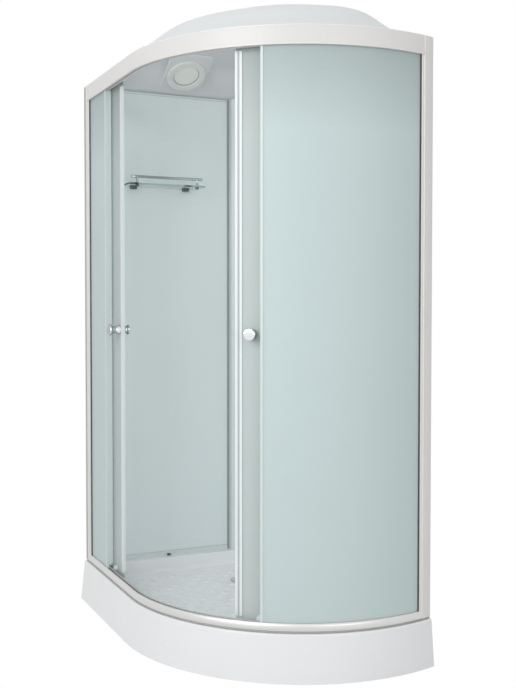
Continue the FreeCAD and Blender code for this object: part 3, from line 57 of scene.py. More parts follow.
Colour = tuple[float, float, float]
Mesh = tuple[list[Sequence[float]], list[tuple[int, ...]]]
Feed = bpy.types.NodeSocket | float | Sequence[float]
Feeds = dict[str | int, Feed]
Sockets = bpy.types.bpy_prop_collection
Layer = tuple[bpy.types.NodeSocket, bpy.types.NodeSocket, bpy.types.NodeSocket]
MM = 0.001
SHARP = 32.0  # edges that turn by more than this many degrees stay sharp
BEVELLED = 35.0  # edges that turn by more than this many degrees take a rounding
WHITE = (1.0, 1.0, 1.0, 1.0)


# ---------------------------------------------------------------- plan of the front
@dataclass(frozen=True)
class FrontPlan:
    """Outer face of the front: a straight run on the left, then one arc. Its heights are the walls' too.

    Attributes:
        left: x of the straight run's outer face.
        back: y of the back wall plane.
        centre: centre of the arc.
        radius: radius of the arc's outer face.
        post_run: run at which the left post ends.
        post_angle: angle along the arc, in degrees, where the right post starts.
        end_angle: angle along the arc, in degrees, where the front ends.
        side: x of the side wall plane.
        foot: Height of the foot of posts and walls.
        head: Height of their head.
        groove: Inset of both sides of the groove for the fixed panes.
        door_face: Inset of the outer face of the doors' panes.
        step: Largest turn between the sections of a swept piece, in degrees.
    """

    left: float = -389 * MM
    back: float = 607 * MM
    centre: Point2 = (236 * MM, 40 * MM)
    radius: float = 625 * MM
    post_run: float = 41 * MM
    post_angle: float = 102.75
    end_angle: float = 106.26
    side: float = 411 * MM
    foot: float = 160 * MM
    head: float = 1987 * MM
    groove: Point2 = (9.4 * MM, 15.6 * MM)
    door_face: float = 38 * MM
    step: float = 1.0

    @property
    def straight(self) -> float:
        """Length of the straight run."""
        return self.back - self.centre[1]

    def run_at(self, degrees: float) -> float:
        """Run of a point given by its angle along the arc.

        Args:
            degrees: Angle from the start of the arc.

        Returns:
            Distance along the outer face from the back wall.
        """
        return self.straight + math.radians(degrees) * self.radius

    def wall_run(self, inset: float) -> float:
        """Run at which an inset line meets the side wall plane.

        Args:
            inset: Distance inwards.

        Returns:
            The run of that point.
        """
        cosine = (self.centre[0] - self.side) / (self.radius - inset)
        return self.straight + math.acos(cosine) * self.radius

    def point(self, run: float, inset: float) -> Point2:
        """Plan position of a run and an inset.

        Args:
            run: Distance along the outer face.
            inset: Distance inwards.

        Returns:
            x and y.
        """
        if run <= self.straight:
            return (self.left + inset, self.back - run)
        angle = (run - self.straight) / self.radius
        reach = self.radius - inset
        return (self.centre[0] - reach * math.cos(angle), self.centre[1] - reach * math.sin(angle))

    def section(self, run: float, outline: Sequence[Point2]) -> list[Point3]:
        """Place a cross-section of the front.

        Args:
            run: Distance along the outer face.
            outline: Points as (inset, z).

        Returns:
            The same points as x, y and z.
        """
        return [(*self.point(run, inset), z) for inset, z in outline]

    def stations(self, start: float, end: float) -> list[float]:
        """Runs at which a swept piece has its sections.

        Args:
            start: First run.
            end: Last run.

        Returns:
            Increasing runs, both ends included.
        """
        runs = [start]
        if start < self.straight < end:
            runs.append(self.straight)
        bend = max(start, self.straight)
        if end > bend:
            turn = math.degrees((end - bend) / self.radius)
            count = max(1, math.ceil(turn / self.step))
            runs += [bend + (end - bend) * number / count for number in range(1, count + 1)]
        else:
            runs.append(end)
        return runs


PLAN = FrontPlan()


# ---------------------------------------------------------------- mesh helpers
def shade(mesh: bpy.types.Mesh, sharp: float) -> None:
    """Give a mesh smooth faces and creases at its sharp corners.

    Args:
        mesh: Mesh to change.
        sharp: Edges that turn by more than this many degrees stay sharp.
    """
    mesh.shade_smooth()
    mesh.set_sharp_from_angle(angle=math.radians(sharp))


def new_object(
    name: str, verts: Sequence[Sequence[float]], faces: Sequence[Sequence[int]], sharp: float = SHARP
) -> bpy.types.Object:
    """Make a mesh object with smooth faces and creases at sharp corners.

    Args:
        name: Object name.
        verts: Vertex positions.
        faces: Vertex numbers of each face.
        sharp: Edges that turn by more than this many degrees stay sharp.

    Returns:
        The new object, linked to the scene.
    """
    mesh = bpy.data.meshes.new(name)
    mesh.from_pydata([tuple(v) for v in verts], [], [tuple(f) for f in faces])
    mesh.validate()
    shade(mesh, sharp)
    thing = bpy.data.objects.new(name, mesh)
    bpy.context.scene.collection.objects.link(thing)
    return thing


def rectangle(low: Sequence[float], high: Sequence[float]) -> list[Point2]:
    """Corners of a rectangle, anticlockwise from the lowest.

    Args:
        low: Lowest corner.
        high: Highest corner.

    Returns:
        Four points.
    """
    return [(low[0], low[1]), (high[0], low[1]), (high[0], high[1]), (low[0], high[1])]


def arc(centre: Point2, radius: float, start: float, end: float, count: int) -> list[Point2]:
    """Points along a circular arc.

    Args:
        centre: Centre of the arc.
        radius: Its radius.
        start: First angle, in radians.
        end: Last angle, in radians.
        count: Number of segments.

    Returns:
        Points, both ends included.
    """
    turns = [start + (end - start) * number / count for number in range(count + 1)]
    return [(centre[0] + radius * math.cos(turn), centre[1] + radius * math.sin(turn)) for turn in turns]


def metres(profile: Iterable[Point2]) -> list[Point2]:
    """Give a profile that is written in millimetres in metres.

    Args:
        profile: Points as (radius, reach) in millimetres.

    Returns:
        The same points in metres.
    """
    return [(radius * MM, reach * MM) for radius, reach in profile]


def rounded(points: Sequence[Point2], radii: Sequence[float] | float, steps: int = 4) -> list[Point2]:
    """Round the corners of a closed outline.

    Args:
        points: Corners in order.
        radii: One radius for each corner, or one for all.
        steps: Segments in each rounded corner.

    Returns:
        The outline with its corners replaced by smooth bends.
    """
    sizes = [radii] * len(points) if isinstance(radii, (int, float)) else list(radii)
    outline: list[Point2] = []
    most = 0.49  # share of a side that a corner may take up
    for index, corner in enumerate(points):
        here = Vector(corner)
        before = Vector(points[index - 1]) - here
        after = Vector(points[(index + 1) % len(points)]) - here
        if sizes[index] <= 0:
            outline.append((here.x, here.y))
            continue
        half = before.angle(after) / 2
        back = min(sizes[index] / math.tan(half), before.length * most, after.length * most)
        first = here + before.normalized() * back
        last = here + after.normalized() * back
        for step in range(steps + 1):
            share = step / steps
            bend = first * (1 - share) ** 2 + here * 2 * share * (1 - share) + last * share**2
            outline.append((bend.x, bend.y))
    return outline


def skin(sections: Sequence[Sequence[Sequence[float]]]) -> Mesh:
    """Join equal closed sections into one tube with closed ends.

    Args:
        sections: Closed rings of points, all with the same count.

    Returns:
        Vertices and faces.
    """
    count = len(sections[0])
    verts = [point for ring in sections for point in ring]
    last = (len(sections) - 1) * count
    faces = []
    for here in range(0, last, count):
        there = here + count
        for index in range(count):
            after = (index + 1) % count
            faces.append((here + index, here + after, there + after, there + index))
    faces.append(tuple(reversed(range(count))))
    faces.append(tuple(range(last, last + count)))
    return verts, faces


def sweep(name: str, outline: Sequence[Point2], start: float, end: float) -> bpy.types.Object:
    """Run a cross-section along the front.

    Args:
        name: Object name.
        outline: Closed section as (inset, z).
        start: First run.
        end: Last run.

    Returns:
        The swept piece.
    """
    return new_object(name, *skin([PLAN.section(run, outline) for run in PLAN.stations(start, end)]))


def prism(name: str, outline: Sequence[Point2], low: float, high: float) -> bpy.types.Object:
    """Raise a plan outline between two heights.

    Args:
        name: Object name.
        outline: Closed outline as (x, y).
        low: Lower height.
        high: Upper height.

    Returns:
        The upright piece.
    """
    return new_object(name, *skin([[(x, y, z) for x, y in outline] for z in (low, high)]))


def lathe(name: str, profile: Sequence[Point2], place: Matrix, segments: int) -> bpy.types.Object:
    """Turn a profile about an axis.

    Args:
        name: Object name.
        profile: Points as (radius, distance along the axis); a radius of 0 ends the surface.
        place: Matrix that lays +Z along the axis, as axis_place gives it.
        segments: Sides of the turned piece.

    Returns:
        The turned piece.
    """
    count = len(profile)
    verts: list[Vector] = []
    faces: list[tuple[int, ...]] = []
    for number in range(segments):
        angle = math.tau * number / segments
        across, along = math.cos(angle), math.sin(angle)
        verts += [place @ Vector((radius * across, radius * along, reach)) for radius, reach in profile]
        here = number * count
        there = (number + 1) % segments * count
        for index in range(count - 1):
            faces.append((here + index, there + index, there + index + 1, here + index + 1))
    piece = new_object(name, verts, faces)
    weld(piece)
    return piece


def weld(piece: bpy.types.Object, sharp: float = SHARP) -> None:
    """Merge doubled points of a piece and turn its faces outwards.

    Args:
        piece: Mesh object.
        sharp: Edges that turn by more than this many degrees stay sharp.
    """
    work = bmesh.new()
    work.from_mesh(piece.data)
    bmesh.ops.remove_doubles(work, verts=work.verts, dist=0.001 * MM)
    bmesh.ops.recalc_face_normals(work, faces=work.faces)
    work.to_mesh(piece.data)
    work.free()
    shade(piece.data, sharp)


def block(name: str, low: Sequence[float], high: Sequence[float], edge: float = 0.0) -> bpy.types.Object:
    """A box, with its edges rounded if wanted.

    Args:
        name: Object name.
        low: Lowest corner.
        high: Highest corner.
        edge: Width of the rounding.

    Returns:
        The box.
    """
    piece = prism(name, rectangle(low, high), low[2], high[2])
    if edge:
        soften(piece, edge)
    return piece


def soften(piece: bpy.types.Object, width: float, segments: int = 2) -> None:
    """Round the sharp edges of a piece with a bevel.

    Args:
        piece: Object to change.
        width: Width of the rounding.
        segments: Steps across it.
    """
    bevel = piece.modifiers.new("edges", "BEVEL")
    bevel.width = width
    bevel.segments = segments
    bevel.limit_method = "ANGLE"
    bevel.angle_limit = math.radians(BEVELLED)
    bevel.harden_normals = True


def axis_place(origin: Sequence[float], direction: Sequence[float]) -> Matrix:
    """Matrix that lays the +Z axis along a direction at a point.

    Args:
        origin: Point that the axis starts at.
        direction: Direction of the axis.

    Returns:
        The matrix.
    """
    turn = Vector(direction).to_track_quat("Z", "Y").to_matrix().to_4x4()
    return Matrix.Translation(Vector(origin)) @ turn


def inwards(run: float) -> Vector:
    """Unit vector from the front's outer face inwards.

    Args:
        run: Distance along the front.

    Returns:
        Level unit vector.
    """
    outer = Vector((*PLAN.point(run, 0.0), 0.0))
    inner = Vector((*PLAN.point(run, 0.1), 0.0))
    return (inner - outer).normalized()


# ---------------------------------------------------------------- finishes
@dataclass(frozen=True)
class Graph:
    """Builds the nodes of one tree in short calls.

    Attributes:
        tree: The tree being built.
    """

    tree: bpy.types.NodeTree

    @classmethod
    def of(cls, owner: bpy.types.Material | bpy.types.World) -> "Graph":
        """Empty the nodes of a material or world.

        Args:
            owner: Material or world.

        Returns:
            The graph of its nodes.
        """
        owner.use_nodes = True
        owner.node_tree.nodes.clear()
        return cls(owner.node_tree)

    def feed(self, socket: bpy.types.NodeSocket, value: Feed) -> None:
        """Link a socket to an input, or set the input's own value.

        Args:
            socket: The input.
            value: Output socket, number or colour.
        """
        if isinstance(value, bpy.types.NodeSocket):
            self.tree.links.new(value, socket)
        else:
            socket.default_value = value

    def add(self, kind: str, feeds: Feeds | None = None, **settings: object) -> bpy.types.Node:
        """Add a shader node.

        Args:
            kind: Blender's name of the node type, without its first word.
            feeds: What goes into each input, by name or number.
            **settings: Properties of the node itself, such as its operation.

        Returns:
            The node.
        """
        node = self.tree.nodes.new("ShaderNode" + kind)
        for name, value in settings.items():
            setattr(node, name, value)
        for name, value in (feeds or {}).items():
            self.feed(node.inputs[name], value)
        return node

    def math(self, operation: str, first: Feed, second: Feed) -> bpy.types.NodeSocket:
        """Work out one number from two.

        Args:
            operation: Blender's name of the operation.
            first: Socket or number.
            second: Socket or number.

        Returns:
            Socket with the result.
        """
        return self.add("Math", {0: first, 1: second}, operation=operation).outputs[0]

    def noise(self, coords: bpy.types.NodeSocket, scale: Feed, detail: float) -> bpy.types.NodeSocket:
        """Add a noise texture.

        Args:
            coords: Socket with the coordinates.
            scale: Socket or number with the scale.
            detail: Octaves of the noise.

        Returns:
            Socket with the noise.
        """
        return self.add("TexNoise", {"Vector": coords, "Scale": scale, "Detail": detail}).outputs["Fac"]

    def scaled(self, colour: bpy.types.NodeSocket, gain: bpy.types.NodeSocket) -> bpy.types.NodeSocket:
        """Multiply a colour by a number.

        Args:
            colour: Socket with the colour.
            gain: Socket with the number.

        Returns:
            Socket with the new colour.
        """
        return self.add("VectorMath", {0: colour, "Scale": gain}, operation="SCALE").outputs[0]

    def mixed(self, share: Feed, first: bpy.types.Node, second: bpy.types.Node) -> bpy.types.NodeSocket:
        """Mix two shaders.

        Args:
            share: Share of the second shader.
            first: Node of the first shader.
            second: Node of the second shader.

        Returns:
            Socket with the mixed shader.
        """
        return self.add("MixShader", {0: share, 1: first.outputs[0], 2: second.outputs[0]}).outputs[0]

    def seen(self) -> bpy.types.NodeSocket:
        """Tell which rays see the white surroundings.

        Returns:
            Socket with 1 for camera, glossy and transmission rays.
        """
        rays = self.add("LightPath").outputs
        mirrored = self.math("MAXIMUM", rays["Is Camera Ray"], rays["Is Glossy Ray"])
        return self.math("MAXIMUM", mirrored, rays["Is Transmission Ray"])


class Effect(Enum):
    """Shared surface effects, each one node group."""

    MOTTLE = "Mottle"
    BRUSHED = "Brushed"
    FROST = "Frost"


@dataclass(frozen=True)
class EffectLibrary:
    """Builds each shared effect once and hands it out.

    Attributes:
        inputs: Name and first value of each number that an effect is given.
        grain: Scale of a moulded surface's grain, in times that of its clouds.
        marks: Scale of its handling marks, in times that of its clouds.
        stretch: Scale of the brushed lines along each axis.
        drift: Scale of the brushed surface's clouds.
        pits: Scale of the etched pits.
        shade: Heights between which painted shade darkens frosted panes towards the top rail, and the shares
            of
        tone at both.
        made: Node groups built so far.
    """

    inputs: tuple[tuple[str, float], ...] = (
        ("Spread", 0.04), ("Scale", 12.0), ("Roughness", 0.4), ("Wear", 0.2)
    )
    grain: float = 28.0
    marks: float = 4.0
    stretch: Point3 = (9.0, 9.0, 0.35)
    drift: float = 5.0
    pits: float = 900.0
    shade: tuple[float, float, float, float] = (1680 * MM, 1980 * MM, 1.0, 0.74)
    made: dict[Effect, bpy.types.NodeTree] = field(default_factory=dict)

    def group(self, effect: Effect) -> bpy.types.NodeTree:
        """Give an effect's node group.

        Args:
            effect: The effect wanted.

        Returns:
            Its node group.
        """
        if effect not in self.made:
            makers: dict[Effect, Callable[[Graph, Sockets, bpy.types.NodeSocket], Layer]] = {
                Effect.MOTTLE: self._mottle, Effect.BRUSHED: self._brushed, Effect.FROST: self._frost,
            }
            tree = bpy.data.node_groups.new(effect.value, "ShaderNodeTree")
            face = tree.interface
            face.new_socket("Tone", in_out="INPUT", socket_type="NodeSocketColor")
            for name, value in self.inputs:
                face.new_socket(name, in_out="INPUT", socket_type="NodeSocketFloat").default_value = value
            for name, kind in (("Color", "Color"), ("Roughness", "Float"), ("Height", "Float")):
                face.new_socket(name, in_out="OUTPUT", socket_type="NodeSocket" + kind)
            graph = Graph(tree)
            given = tree.nodes.new("NodeGroupInput").outputs
            layer = makers[effect](graph, given, graph.add("TexCoord").outputs["Object"])
            out = tree.nodes.new("NodeGroupOutput")
            for target, socket in zip(out.inputs, layer):
                graph.feed(target, socket)
            self.made[effect] = tree
        return self.made[effect]

    @staticmethod
    def _tinted(graph: Graph, given: Sockets, mask: bpy.types.NodeSocket) -> bpy.types.NodeSocket:
        """Lighten and darken the tone by a mask around one half.

        Args:
            graph: Group being built.
            given: The group's inputs.
            mask: Socket with the mask.

        Returns:
            Socket with the varied colour.
        """
        change = graph.math("MULTIPLY", graph.math("SUBTRACT", mask, 0.5), given["Spread"])
        return graph.scaled(given["Tone"], graph.math("ADD", change, 1.0))

    def _mottle(self, graph: Graph, given: Sockets, coords: bpy.types.NodeSocket) -> Layer:
        """Moulded or painted surface: faint clouds, fine grain and handling marks.

        Args:
            graph: Group being built.
            given: The group's inputs.
            coords: Socket with the coordinates.

        Returns:
            Sockets with colour, roughness and height.
        """
        clouds = graph.noise(coords, given["Scale"], 3.0)
        grain = graph.noise(coords, graph.math("MULTIPLY", given["Scale"], self.grain), 4.0)
        marks = graph.noise(coords, graph.math("MULTIPLY", given["Scale"], self.marks), 6.0)
        wear = graph.math("MULTIPLY", graph.math("MULTIPLY", marks, given["Wear"]), 0.5)
        return self._tinted(graph, given, clouds), graph.math("ADD", given["Roughness"], wear), grain

    def _brushed(self, graph: Graph, given: Sockets, coords: bpy.types.NodeSocket) -> Layer:
        """Drawn metal: fine lines along the length with a faint cloudy tone.

        Args:
            graph: Group being built.
            given: The group's inputs.
            coords: Socket with the coordinates.

        Returns:
            Sockets with colour, roughness and height.
        """
        stretched = graph.add("Mapping", {"Vector": coords, "Scale": self.stretch}).outputs[0]
        lines = graph.noise(stretched, given["Scale"], 6.0)
        both = graph.math("MULTIPLY", graph.math("ADD", lines, graph.noise(coords, self.drift, 2.0)), 0.5)
        wear = graph.math("MULTIPLY", lines, given["Wear"])
        return self._tinted(graph, given, both), graph.math("ADD", given["Roughness"], wear), lines

    def _frost(self, graph: Graph, given: Sockets, coords: bpy.types.NodeSocket) -> Layer:
        """Etched glass: very fine pits, with a slow drift of tone, and painted shade that darkens it towards
        its head.

        Args:
            graph: Group being built.
            given: The group's inputs.
            coords: Socket with the coordinates.

        Returns:
            Sockets with colour, roughness and height.
        """
        clouds = graph.noise(coords, given["Scale"], 2.0)
        pits = graph.add("TexVoronoi", {"Vector": coords, "Scale": self.pits}).outputs["Distance"]
        wear = graph.math("MULTIPLY", pits, given["Wear"])
        # painted shade: the colour darkens towards the pane's head, where the top rail shades it
        split = graph.add("SeparateXYZ", {0: graph.add("NewGeometry").outputs["Position"]})
        limits = dict(zip(("From Min", "From Max", "To Min", "To Max"), self.shade))
        shade = graph.add("MapRange", {"Value": split.outputs["Z"], **limits}).outputs[0]
        colour = graph.scaled(self._tinted(graph, given, clouds), shade)
        return colour, graph.math("ADD", given["Roughness"], wear), pits


EFFECTS = EffectLibrary()


@dataclass(frozen=True)
class Finish:
    """An opaque finish.

    Attributes:
        name: Material name, which is the record's slot.
        tone: Linear base colour.
        roughness: Lowest roughness.
        metallic: Metallic share.
        coat: Clear coat weight.
        effect: Shared effect that varies the surface.
        spread: Strength of the tone variation.
        scale: Scale of the clouds or lines.
        wear: Strength of the roughness variation.
        glow: Emission strength of the tone.
        relief: Bump distance.
        bump: Bump strength.
        coat_roughness: Roughness of the clear coat.
    """

    name: str
    tone: Colour
    roughness: float
    metallic: float = 0.0
    coat: float = 0.0
    effect: Effect = Effect.MOTTLE
    spread: float = 0.06
    scale: float = 6.0
    wear: float = 0.15
    glow: float = 0.0
    relief: float = 0.02 * MM
    bump: float = 0.6
    coat_roughness: float = 0.08

    def surface(self, graph: Graph) -> bpy.types.Node:
        """Lay the shared effect under a principled surface.

        Args:
            graph: Material being built.

        Returns:
            The principled node.
        """
        numbers = {"Spread": self.spread, "Scale": self.scale, "Roughness": self.roughness, "Wear": self.wear}
        layer = graph.add(
            "Group", {"Tone": (*self.tone, 1.0), **numbers}, node_tree=EFFECTS.group(self.effect)
        ).outputs
        bump = graph.add("Bump", {"Distance": self.relief, "Strength": self.bump, "Height": layer["Height"]})
        surface = graph.add("BsdfPrincipled", {
            "Base Color": layer["Color"], "Roughness": layer["Roughness"], "Normal": bump.outputs["Normal"],
            "Metallic": self.metallic, "Coat Weight": self.coat, "Coat Roughness": self.coat_roughness,
        })
        if self.glow:
            graph.feed(surface.inputs["Emission Color"], layer["Color"])
            graph.feed(surface.inputs["Emission Strength"], self.glow)
        return surface

    def shader(self, graph: Graph) -> bpy.types.NodeSocket:
        """Build the whole shader of the finish.

        Args:
            graph: Material being built.

        Returns:
            Socket with the shader.
        """
        return self.surface(graph).outputs[0]

    def build(self) -> bpy.types.Material:
        """Make the material.

        Returns:
            The material.
        """
        material = bpy.data.materials.new(self.name)
        graph = Graph.of(material)
        graph.add("OutputMaterial", {"Surface": self.shader(graph)})
        return material


@dataclass(frozen=True)
class AiryFinish(Finish):
    """A finish that lets soft light through to what is behind, as a studio's bounce would.

    Attributes:
        daylight: Share of shadow and diffuse rays that pass straight through.
        through: Transmission weight of the surface itself.
        index: Index of refraction.
    """

    daylight: float = 0.6
    through: float = 0.0
    index: float = 1.46

    def shader(self, graph: Graph) -> bpy.types.NodeSocket:
        """Mix the surface with a clear one for soft light.

        Args:
            graph: Material being built.

        Returns:
            Socket with the shader.
        """
        surface = self.surface(graph)
        graph.feed(surface.inputs["Transmission Weight"], self.through)
        graph.feed(surface.inputs["IOR"], self.index)
        rays = graph.add("LightPath").outputs
        soft = graph.math("MAXIMUM", rays["Is Shadow Ray"], rays["Is Diffuse Ray"])
        clear = graph.add("BsdfTransparent", {"Color": WHITE})
        return graph.mixed(graph.math("MULTIPLY", soft, self.daylight), surface, clear)


@dataclass(frozen=True)
class PolishedFinish(Finish):
    """A mirror finish with a painted reflection: where it turns away, its base colour is darkened as if it
    mirrored a dark room.

    Attributes:
        rim: Linear base colour painted where the surface turns away, as a dark room's reflection.
        blend: How early the surface counts as turned away.
    """

    rim: Colour = (0.08, 0.11, 0.11)
    blend: float = 0.45

    def shader(self, graph: Graph) -> bpy.types.NodeSocket:
        """Paint a dark reflection into the base colour where the surface turns away.

        Args:
            graph: Material being built.

        Returns:
            Socket with the shader.
        """
        surface = self.surface(graph)
        base = surface.inputs["Base Color"]
        # painted reflection: the base colour darkens towards the rim as if it mirrored a dark room
        turned = graph.add("LayerWeight", {"Blend": self.blend}).outputs["Facing"]
        factor, first, second, result = 0, 6, 7, 2
        feeds = {factor: turned, first: base.links[0].from_socket, second: (*self.rim, 1.0)}
        graph.feed(base, graph.add("Mix", feeds, data_type="RGBA").outputs[result])
        return surface.outputs[0]


class Coating(Enum):
    """Each slot of the record with its finish, and further finishes named for what wears them."""

    enamel = Finish("enamel", (0.81, 0.84, 0.85), 0.22, coat=0.3, spread=0.03)
    galvanised = Finish("galvanised", (0.46, 0.47, 0.48), 0.4, metallic=0.9, spread=0.25, scale=30.0)
    rubber = Finish("rubber", (0.05, 0.05, 0.05), 0.75, spread=0.4, scale=40.0)
    pale_rubber = Finish("rubber", (0.36, 0.355, 0.345), 0.6, spread=0.1, scale=30.0)
    # painted shade: a darker copy of the tray's enamel, used for the skirt
    skirt_enamel = Finish("enamel", (0.71, 0.715, 0.725), 0.22, coat=0.3, spread=0.03)
    white_frame = Finish(
        "white_frame", (0.648, 0.638, 0.623), 0.3, effect=Effect.BRUSHED, spread=0.05, scale=14.0
    )
    satin_alloy = Finish(
        "satin_alloy", (0.645, 0.645, 0.635), 0.3, metallic=0.85, effect=Effect.BRUSHED, spread=0.06,
        scale=14.0,
    )
    frosted_glass = AiryFinish(
        "frosted_glass", (0.52, 0.605, 0.605), 0.45, effect=Effect.FROST, spread=0.03, scale=2.0,
        through=0.25, daylight=0.85,
    )
    # painted shade: a darker copy of the frosted glass, used for the door panes
    door_glass = AiryFinish(
        "frosted_glass", (0.475, 0.535, 0.53), 0.45, effect=Effect.FROST, spread=0.03, scale=2.0,
        through=0.25, daylight=0.85,
    )
    clear_glass = AiryFinish(
        "clear_glass", (0.70, 0.88, 0.82), 0.03, spread=0.02, wear=0.05, through=1.0, daylight=0.9
    )
    clear_strip = AiryFinish(
        "clear_strip", (0.54, 0.62, 0.615), 0.3, spread=0.02, scale=8.0, daylight=0.6
    )
    soft_plastic = Finish("soft_plastic", (0.66, 0.70, 0.70), 0.4, spread=0.03, scale=12.0)
    # painted shade: a grey strip standing in for the shadow in the seal's groove
    seal_inlay = Finish("soft_plastic", (0.36, 0.41, 0.41), 0.5, spread=0.03, scale=12.0)
    joint_grey = Finish("joint_grey", (0.30, 0.35, 0.345), 0.4, spread=0.05, scale=12.0)
    white_plastic = AiryFinish(
        "white_plastic", (0.68, 0.708, 0.718), 0.3, spread=0.04, scale=16.0, daylight=0.8
    )
    wall_sheet = AiryFinish(
        "wall_sheet", (0.71, 0.79, 0.79), 0.28, coat=0.2, spread=0.02, scale=2.0, daylight=0.75
    )
    trim_sheet = AiryFinish(
        "white_plastic", (0.66, 0.73, 0.73), 0.28, spread=0.02, scale=4.0, daylight=0.75
    )
    # painted shade: a darker copy of the wall sheet, used for the corner column
    column_sheet = AiryFinish(
        "wall_sheet", (0.62, 0.68, 0.68), 0.28, coat=0.2, spread=0.02, scale=2.0, daylight=0.75
    )
    wall_frame = AiryFinish(
        "wall_frame", (0.60, 0.61, 0.62), 0.35, metallic=0.9, effect=Effect.BRUSHED, spread=0.12,
        scale=20.0, daylight=0.75,
    )
    dark_plastic = Finish("dark_plastic", (0.09, 0.11, 0.11), 0.4, spread=0.3, scale=30.0)
    chrome = PolishedFinish(
        "chrome", (0.78, 0.82, 0.82), 0.06, metallic=1.0, spread=0.03, scale=30.0, wear=0.08
    )
    satin_chrome = Finish("chrome", (0.62, 0.64, 0.65), 0.35, metallic=0.3, spread=0.03, scale=30.0)
    lamp_face = Finish("white_plastic", (0.50, 0.53, 0.50), 0.35, spread=0.02, scale=10.0, glow=0.4)
    # painted light: the ring is no lamp, but a faint glow lightens it
    lamp_rim = Finish("white_plastic", (0.60, 0.63, 0.61), 0.3, spread=0.02, scale=12.0, glow=0.14)
    steel = Finish("steel", (0.50, 0.50, 0.51), 0.3, metallic=1.0, spread=0.1, scale=60.0)


@dataclass(frozen=True)
class Wardrobe:
    """Hands out materials and puts them on pieces.

    Attributes:
        repainted: CAD nodes that wear another finish than their slot's own.
        made: Materials built so far.
    """

    repainted: tuple[tuple[str, Coating], ...] = (
        ("sill_gasket", Coating.pale_rubber), ("drain_grate", Coating.satin_chrome),
        ("left_door_glass", Coating.door_glass), ("right_door_glass", Coating.door_glass),
        ("corner_column", Coating.column_sheet), ("wall_trims", Coating.trim_sheet),
    )
    made: dict[Coating, bpy.types.Material] = field(default_factory=dict)

    def material(self, coating: Coating) -> bpy.types.Material:
        """Give a coating's material.

        Args:
            coating: The coating wanted.

        Returns:
            Its material.
        """
        if coating not in self.made:
            self.made[coating] = coating.value.build()
        return self.made[coating]

    def dress(self, piece: bpy.types.Object, coating: Coating) -> None:
        """Put one material on a whole piece.

        Args:
            piece: Mesh object.
            coating: Its coating.
        """
        piece.data.materials.clear()
        piece.data.materials.append(self.material(coating))

    def dress_frame(self) -> None:
        """Put every CAD node's finish on it."""
        nodes = [(entry["node"], Coating[entry["material_slot"]]) for entry in frame["record"]["subparts"]]
        for node, coating in (*nodes, *self.repainted):
            self.dress(frame["nodes"][node], coating)


WARDROBE = Wardrobe()


def fit(
    piece: bpy.types.Object, coating: Coating, body: str = "cabin", instead_of: Iterable[str] = ()
) -> None:
    """Finish a piece, put it on its body and let it stand for CAD nodes.

    Args:
        piece: The new piece, in place.
        coating: Its coating.
        body: CAD body it rides on.
        instead_of: CAD nodes it stands for.
    """
    WARDROBE.dress(piece, coating)
    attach(piece, body)
    for node in instead_of:
        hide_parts(node)
    LOG.info("fitted %s on %s", piece.name, body)


